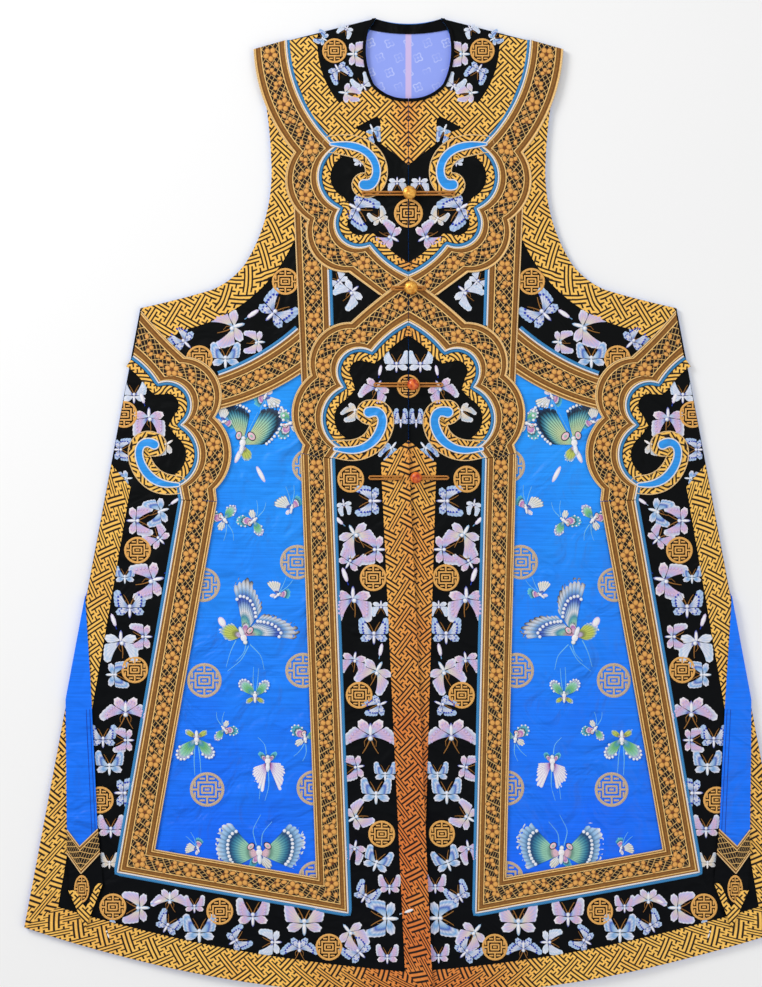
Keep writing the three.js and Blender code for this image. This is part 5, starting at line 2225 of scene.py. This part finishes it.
@dataclass
class FretBands(FrontPart):
    """The gold fret bands of one front: yoke, armhole, edge and the rims of the clouds."""

    covers: list[np.ndarray]

    def add(self, name: str, node: str, shell: Shell, drop: float,
            size: tuple[float, float] | None = None) -> None:
        """Lay one band a little below the top of the trimmings."""
        band = self.cloth(name, node, shell, Level.TRIM - drop, self.finishes.fret, "gold_fret",
                          FRET_WALL)
        declare(shell, size)

    def dress(self) -> None:
        """Build every band."""
        self.add("fret_silk_yoke", "fret_yoke", patch(outline(YOKE_FRET, 3), (), 8), 0.5)
        guide = edge_line(ARMHOLE, 4)
        self.add("fret_silk_armhole", "fret_armhole",
                 patch(outline(ARMHOLE_FRET, 3), (), 8, guide), 0.5)
        shells, sizes = [], []
        for outer, inner in EDGE_STRIPS:
            first, second = side_by_side(outer, inner, 6)
            shells.append(strip(first, second, 6))
            sizes.append(strip_size(first, second))
        whole = (max(s[0] for s in sizes), sum(s[1] for s in sizes))
        self.add("fret_silk_edge", "fret_edge", joined(shells), 0.4, whole)
        for name, stretch in (("chest", slice(1, None)), ("mid", slice(4)),
                              ("side", slice(1, None))):
            cut = RIBBONS[name]
            edge = edge_line(cut.inner[stretch], 3)
            away = away_sign(edge, spaced(edge_line(cut.outer[stretch], 3), len(edge)))
            near, far = moved_aside(edge, away * RIM_NEAR), moved_aside(edge, away * RIM_FAR)
            band = np.concatenate([near, far[::-1]])
            halo = scroll_patch(SCROLLS[name], HALO, [band, *self.covers])
            rim = joined([strip(near, far, 3), halo])
            self.add(f"fret_silk_rim_{name}", f"rim_{name}", rim, 0.25)


@dataclass
class Scrolls(FrontPart):
    """The blue scrolls of one front's clouds with their pipings."""

    def dress(self) -> None:
        """Build the three scrolls."""
        white, cream = Motif(), Motif()
        made = []
        for name, rows in SCROLLS.items():
            shell = scroll_patch(rows, 0)
            thing = self.cloth(f"scroll_silk_{name}", f"scroll_{name}", shell, Level.TOP,
                               self.finishes.scroll, "scroll_satin")
            made.append((thing, shell))
            for loop in loops_round(shell):
                piping(white, loop, 0.8, 2.0, 0.8, Level.TOP - 0.2)
            for loop in loops_round(scroll_patch(rows, HALO)):
                piping(cream, loop, 0.6, 1.6, 0.6, Level.TRIM - 0.3)
        pieces = [self.sewn(white, "scroll_piping", self.finishes.white_piping),
                  self.sewn(cream, "rim_piping", self.finishes.cream_piping)]
        for i, (thing, shell) in enumerate(made):
            declare(shell, None,
                    pieces if i == 0 else ())


@dataclass
class Embroideries(FrontPart):
    """The butterflies and the round medallions of one front."""

    covers: list[np.ndarray]
    roundel: tuple[np.ndarray, list[tuple[int, ...]]]
    swell: float = 1.16

    def dress(self) -> None:
        """Sew them all on."""
        scrolls = [ring for rows in SCROLLS.values() for ring in scroll_rounds(rows, 2.0)]
        neck = np.concatenate([moved_aside(edge_line(NECKLINE, 4), 3.0), [(-60, 582), (-60, 696)]])
        extra = {"chest": scrolls, "mid": scrolls, "side_cloud": scrolls, "yoke": [neck]}
        for zone, flights in FLIGHTS.items():
            motif = Motif()
            for flight in (Flight(*row) for row in flights):
                shape = small_butterfly(flight.palette, flight.pose, flight.tail)
                motif.copy_from(shape, flight.heading, flight.span * self.swell, flight.x,
                                flight.y)
            level = Level.TRIM - 0.5 if zone == "yoke" else Level.GROUND
            self.sewn(motif, f"butterflies_{zone}", self.finishes.floss, level,
                      [*self.covers, *extra.get(zone, ())], hem=True)
        motif = Motif()
        for place in (GrandPlace(*row) for row in GRAND_PLACES):
            motif.copy_from(GRANDS[place.kind].motif(), place.heading, place.scale, place.x,
                            place.y, place.mirrored)
        self.sewn(motif, "butterflies_panel", self.finishes.floss, Level.PANEL, self.covers)
        for name, places, level, finish in (
            ("roundels_gold", ROUNDELS_ON_BLACK, Level.GROUND, self.finishes.gold_roundel),
            ("roundels_tan", ROUNDELS_ON_BLUE, Level.PANEL, self.finishes.tan_cord),
        ):
            finish_piece(lay_roundels(f"{name}_{self.side.word}", self.roundel, places,
                                      self.surface, level, finish), None)


@dataclass
class Streamer(FrontPart):
    """The folded strap at one side and its pointed end."""

    roundel: tuple[np.ndarray, list[tuple[int, ...]]]
    top_y: float = -125.0
    low_y: float = -273.0
    clearance: float = 1.6
    width: float = 52.0
    shortest: float = 330.0
    wall: float = 0.9
    hidden_z: float = 2.8
    fold_z: float = 1.9
    fold_reach: float = 1.6
    fold_back: float = 1.0
    fold_steps: int = 9
    fold_places: int = 18
    medal: RoundelPlace = RoundelPlace(464, -541, 19.6)
    medal_squeeze: float = 0.55
    low: Rows = ((485, -470, 0), (465, -497, 0), (441, -470, 0), (450, -273, 0))
    hidden: Rows = ((372, 33, 0), (402, 33, 0))
    end: Rows = ((485, -471, 0), (465, -498, 0), (439, -471, 0), (434, -535, 0), (459, -597, 0),
                 (482, -545, 0))
    chevron_low: Rows = ((485, -490, 0), (465, -519, 0), (438, -490, 0))
    chevron_top: Rows = ((485, -457, 0), (467, -481, 0), (441, -456, 0))
    tip: Rows = ((483, -543, 0), (459, -597, 0), (434, -533, 0), (443, -533, 0), (458, -568, 0),
                 (473, -543, 0))

    def strap(self) -> tuple[bpy.types.Object, Shell]:
        """The strap: a hidden stretch below the front, a fold and the stretch that shows."""
        upper = (side_edge_x(self.top_y) + self.clearance, self.top_y, 0.0)
        lower = (side_edge_x(self.low_y) + self.clearance, self.low_y, 0.0)
        shown = patch(outline([upper, lower, *self.low], 6), spacing=8)
        below = patch(outline([upper, lower, *self.hidden], 8), spacing=14)
        first = np.array([[upper[0] * (1 - t) + lower[0] * t, upper[1] * (1 - t) + lower[1] * t]
                          for t in np.linspace(0, 1, self.fold_places)])
        top = self.surface.place(shown.points, Level.TOP)
        under = np.column_stack([below.points[:, 0] * self.side, below.points[:, 1],
                                 np.full(len(below.points), self.hidden_z)]) * MM
        edge = self.surface.place(first, Level.TOP)
        low_z = self.fold_z * MM
        fold = []
        for way in np.linspace(0, math.pi, self.fold_steps):
            ring = edge.copy()
            ring[:, 0] += self.side * (math.sin(way) * self.fold_reach - self.fold_back) * MM
            ring[:, 2] = (edge[:, 2] + low_z) / 2 + (edge[:, 2] - low_z) / 2 * math.cos(way)
            fold.append(ring)
        places = [top, under, np.concatenate(fold)]
        fold_faces = grid_faces(self.fold_steps - 1, self.fold_places - 1)
        faces, start = [], 0
        for group, points in zip((shown.faces, below.faces, fold_faces), places):
            a, b, c = points[list(group[0][:3])]
            turned = [tuple(reversed(f)) for f in group] if np.cross(b - a, c - a)[2] < 0 else group
            faces += [tuple(i + start for i in f) for f in turned]
            start += len(points)
        along = np.concatenate([first] * self.fold_steps) * MM
        thing = write_mesh(f"cloth_strap_{self.side.word}", np.concatenate(places), faces,
                           np.concatenate([shown.uvs, below.uvs, along]), self.wall * MM,
                           self.finishes.strap)
        return thing, joined([shown, below])

    def dress(self) -> None:
        """Build the strap and its end."""
        word = self.side.word
        strap, shell = self.strap()
        finish_piece(strap, "blue_satin", f"streamer_strap_{word}")
        stitches = Motif()
        inner = edge_line([(452.5, -286, 0), (444.5, -466, 0)], 4)
        for aside in (0.0, 5.0):
            piping(stitches, inner, aside, 0.9, 0.35, Level.TOP, STITCH_BLUE)
        cream = Motif()
        for rows in (self.chevron_low, self.chevron_top):
            piping(cream, edge_line(rows, 3), 0, 1.8, 0.8, Level.CREST - 0.1)
        lines = self.sewn(stitches, "strap_stitches", self.finishes.floss)
        edges = self.sewn(cream, "chevron_piping", self.finishes.cream_piping)
        length = max(self.shortest, shell.area() / self.width)
        declare(shell, (self.width, length), [lines])

        shell = patch(outline(self.end, 4), spacing=7)
        end = self.cloth("cloth_strap_end", "streamer_end", shell, Level.TOP,
                         self.finishes.black, "black_satin")
        medal = lay_roundels(f"roundel_strap_{word}", self.roundel,
                             [self.medal], self.surface, Level.TOP,
                             self.finishes.gold_roundel, self.medal_squeeze)
        finish_piece(medal, None)
        declare(shell, None, [medal])

        first, second = side_by_side(self.chevron_top, self.chevron_low, 3)
        shell = strip(first, second, 5)
        chevron = self.cloth("ribbon_silk_chevron", "streamer_chevron", shell, Level.CREST,
                             self.finishes.ribbon, "ribbon_brocade")
        declare(shell, strip_size(first, second), [edges])

        shell = patch(outline(self.tip, 2), spacing=5)
        tip = self.cloth("fret_silk_tip", "streamer_tip", shell, Level.CREST,
                         self.finishes.fret, "gold_fret")
        declare(shell)


@dataclass
class Buttons:
    """The four buttons and the twisted cords at both sides of them."""

    surfaces: dict[Side, FrontSurface]
    finishes: Finishes
    cord_gap: float = 2.0
    cord_width: float = 2.6
    cord_height: float = 1.9
    stalk: float = 2.0
    closed_start: float = 1.5
    open_start: float = 5.0
    open_shift: float = 4.0
    models: tuple[ButtonModel, ...] = (
        ButtonModel(1.4, 447, 9.5, 64, Level.TOP, True),
        ButtonModel(3.6, 312, 9.5, 22, Level.TOP, True),
        ButtonModel(6.4, 175, 8.2, 47, Level.TRIM, False),
        ButtonModel(10.7, 43, 8.2, 54, Level.TOP, False),
    )

    def dress(self) -> None:
        """Build the buttons, then the cords."""
        for i, model in enumerate(self.models):
            steps = np.array([[model.x + s * model.radius, model.y] for s in (-1, 0, 1)])
            foot = max(float(surface.height(steps).max()) for surface in self.surfaces.values())
            glossy = self.finishes.gilt if model.gilt else self.finishes.coral
            button = model.build(f"button_round_{i + 1}", foot + model.level + self.stalk, glossy)
            slot = "gold_button" if model.gilt else "coral_button"
            finish_piece(button, slot, f"button_{i + 1}")
            for side, surface in self.surfaces.items():
                motif = Motif()
                start = self.closed_start
                if model.y < LAP_TOP_Y:
                    start = self.open_start - side * self.open_shift
                half = self.cord_gap
                turn = [(model.reach + half * math.sin(t * math.pi / 6),
                         model.y + half * math.cos(t * math.pi / 6)) for t in range(7)]
                line = np.array([(start, model.y + half), *turn, (start, model.y - half)])
                line = spaced(line, max(24, int(model.reach / 1.2)))
                piping(motif, line, 0, self.cord_width, self.cord_height, model.level - 0.1)
                name = f"cord_twist_{i + 1}_{side.word}"
                cord = motif.sew(name, surface, 0, self.finishes.gold_cord)
                finish_piece(cord, "gold_cord", f"cord_{i + 1}_{side.word}")


@dataclass
class Studio:
    """A plain floor, soft lights and the camera straight above."""

    camera_x: float = -39.0
    camera_y: float = 20.6
    camera_z: float = 3.318
    lens: float = 85.0
    key_place: tuple[float, float, float] = (-2.3, 1.9, 1.8)
    key_size: float = 1.3
    key_power: float = 62.0
    fill_place: tuple[float, float, float] = (2.2, -0.6, 2.8)
    fill_size: float = 2.4
    fill_power: float = 22.0
    sky_strength: float = 0.6
    floor_drop: float = 0.0006

    def build(self) -> None:
        """Set the stage."""
        bpy.ops.object.select_all(action="DESELECT")
        bpy.ops.mesh.primitive_plane_add(size=9.0, location=(0, 0, -self.floor_drop))
        floor = bpy.context.object
        floor.name = "floor"
        paper = bpy.data.materials.new("PaleFloor")
        paper.use_nodes = True
        shader = paper.node_tree.nodes["Principled BSDF"]
        shader.inputs["Base Color"].default_value = (0.93, 0.93, 0.93, 1)
        shader.inputs["Roughness"].default_value = 0.9
        floor.data.materials.append(paper)
        world = bpy.data.worlds.new("Studio")
        bpy.context.scene.world = world
        world.use_nodes = True
        backdrop = world.node_tree.nodes["Background"]
        backdrop.inputs["Color"].default_value = (1, 1, 1, 1)
        backdrop.inputs["Strength"].default_value = self.sky_strength
        for name, place, size, power in (
            ("KeyLight", self.key_place, self.key_size, self.key_power),
            ("FillLight", self.fill_place, self.fill_size, self.fill_power),
        ):
            light = bpy.data.lights.new(name, "AREA")
            light.energy, light.size = power, size
            lamp = bpy.data.objects.new(name, light)
            lamp.location = place
            aim = Vector((0, 0, 0)) - Vector(place)
            lamp.rotation_euler = aim.to_track_quat("-Z", "Y").to_euler()
            bpy.context.scene.collection.objects.link(lamp)
        lens = bpy.data.cameras.new("Camera")
        lens.lens, lens.sensor_width, lens.sensor_fit = self.lens, 36, "AUTO"
        camera = bpy.data.objects.new("Camera", lens)
        camera.location = (self.camera_x * MM, self.camera_y * MM, self.camera_z)
        bpy.context.scene.collection.objects.link(camera)
        bpy.context.scene.camera = camera
        bpy.context.scene.view_settings.view_transform = "Standard"


def main() -> None:
    """Build the garment's looks in order."""
    logging.basicConfig(level=logging.INFO, format="%(message)s")
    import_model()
    finishes = Finishes()
    LOG.info("finishes ready")
    BackPanel(finishes).dress()
    roundel = RoundelModel().build()
    surfaces = {side: FrontSurface(side) for side in Side}
    for side, surface in surfaces.items():
        FrontPanel(side, surface, finishes).dress()
        ribbons = Ribbons(side, surface, finishes)
        ribbons.dress()
        covers = list(ribbons.rings.values())
        FretBands(side, surface, finishes, covers).dress()
        Scrolls(side, surface, finishes).dress()
        LOG.info("%s front: cloth and trimmings laid", side.word)
        Embroideries(side, surface, finishes, covers, roundel).dress()
        Streamer(side, surface, finishes, roundel).dress()
        LOG.info("%s front: embroidery sewn", side.word)
    Buttons(surfaces, finishes).dress()
    Studio().build()
    LOG.info("sizes written")


if __name__ == "__main__":
    main()
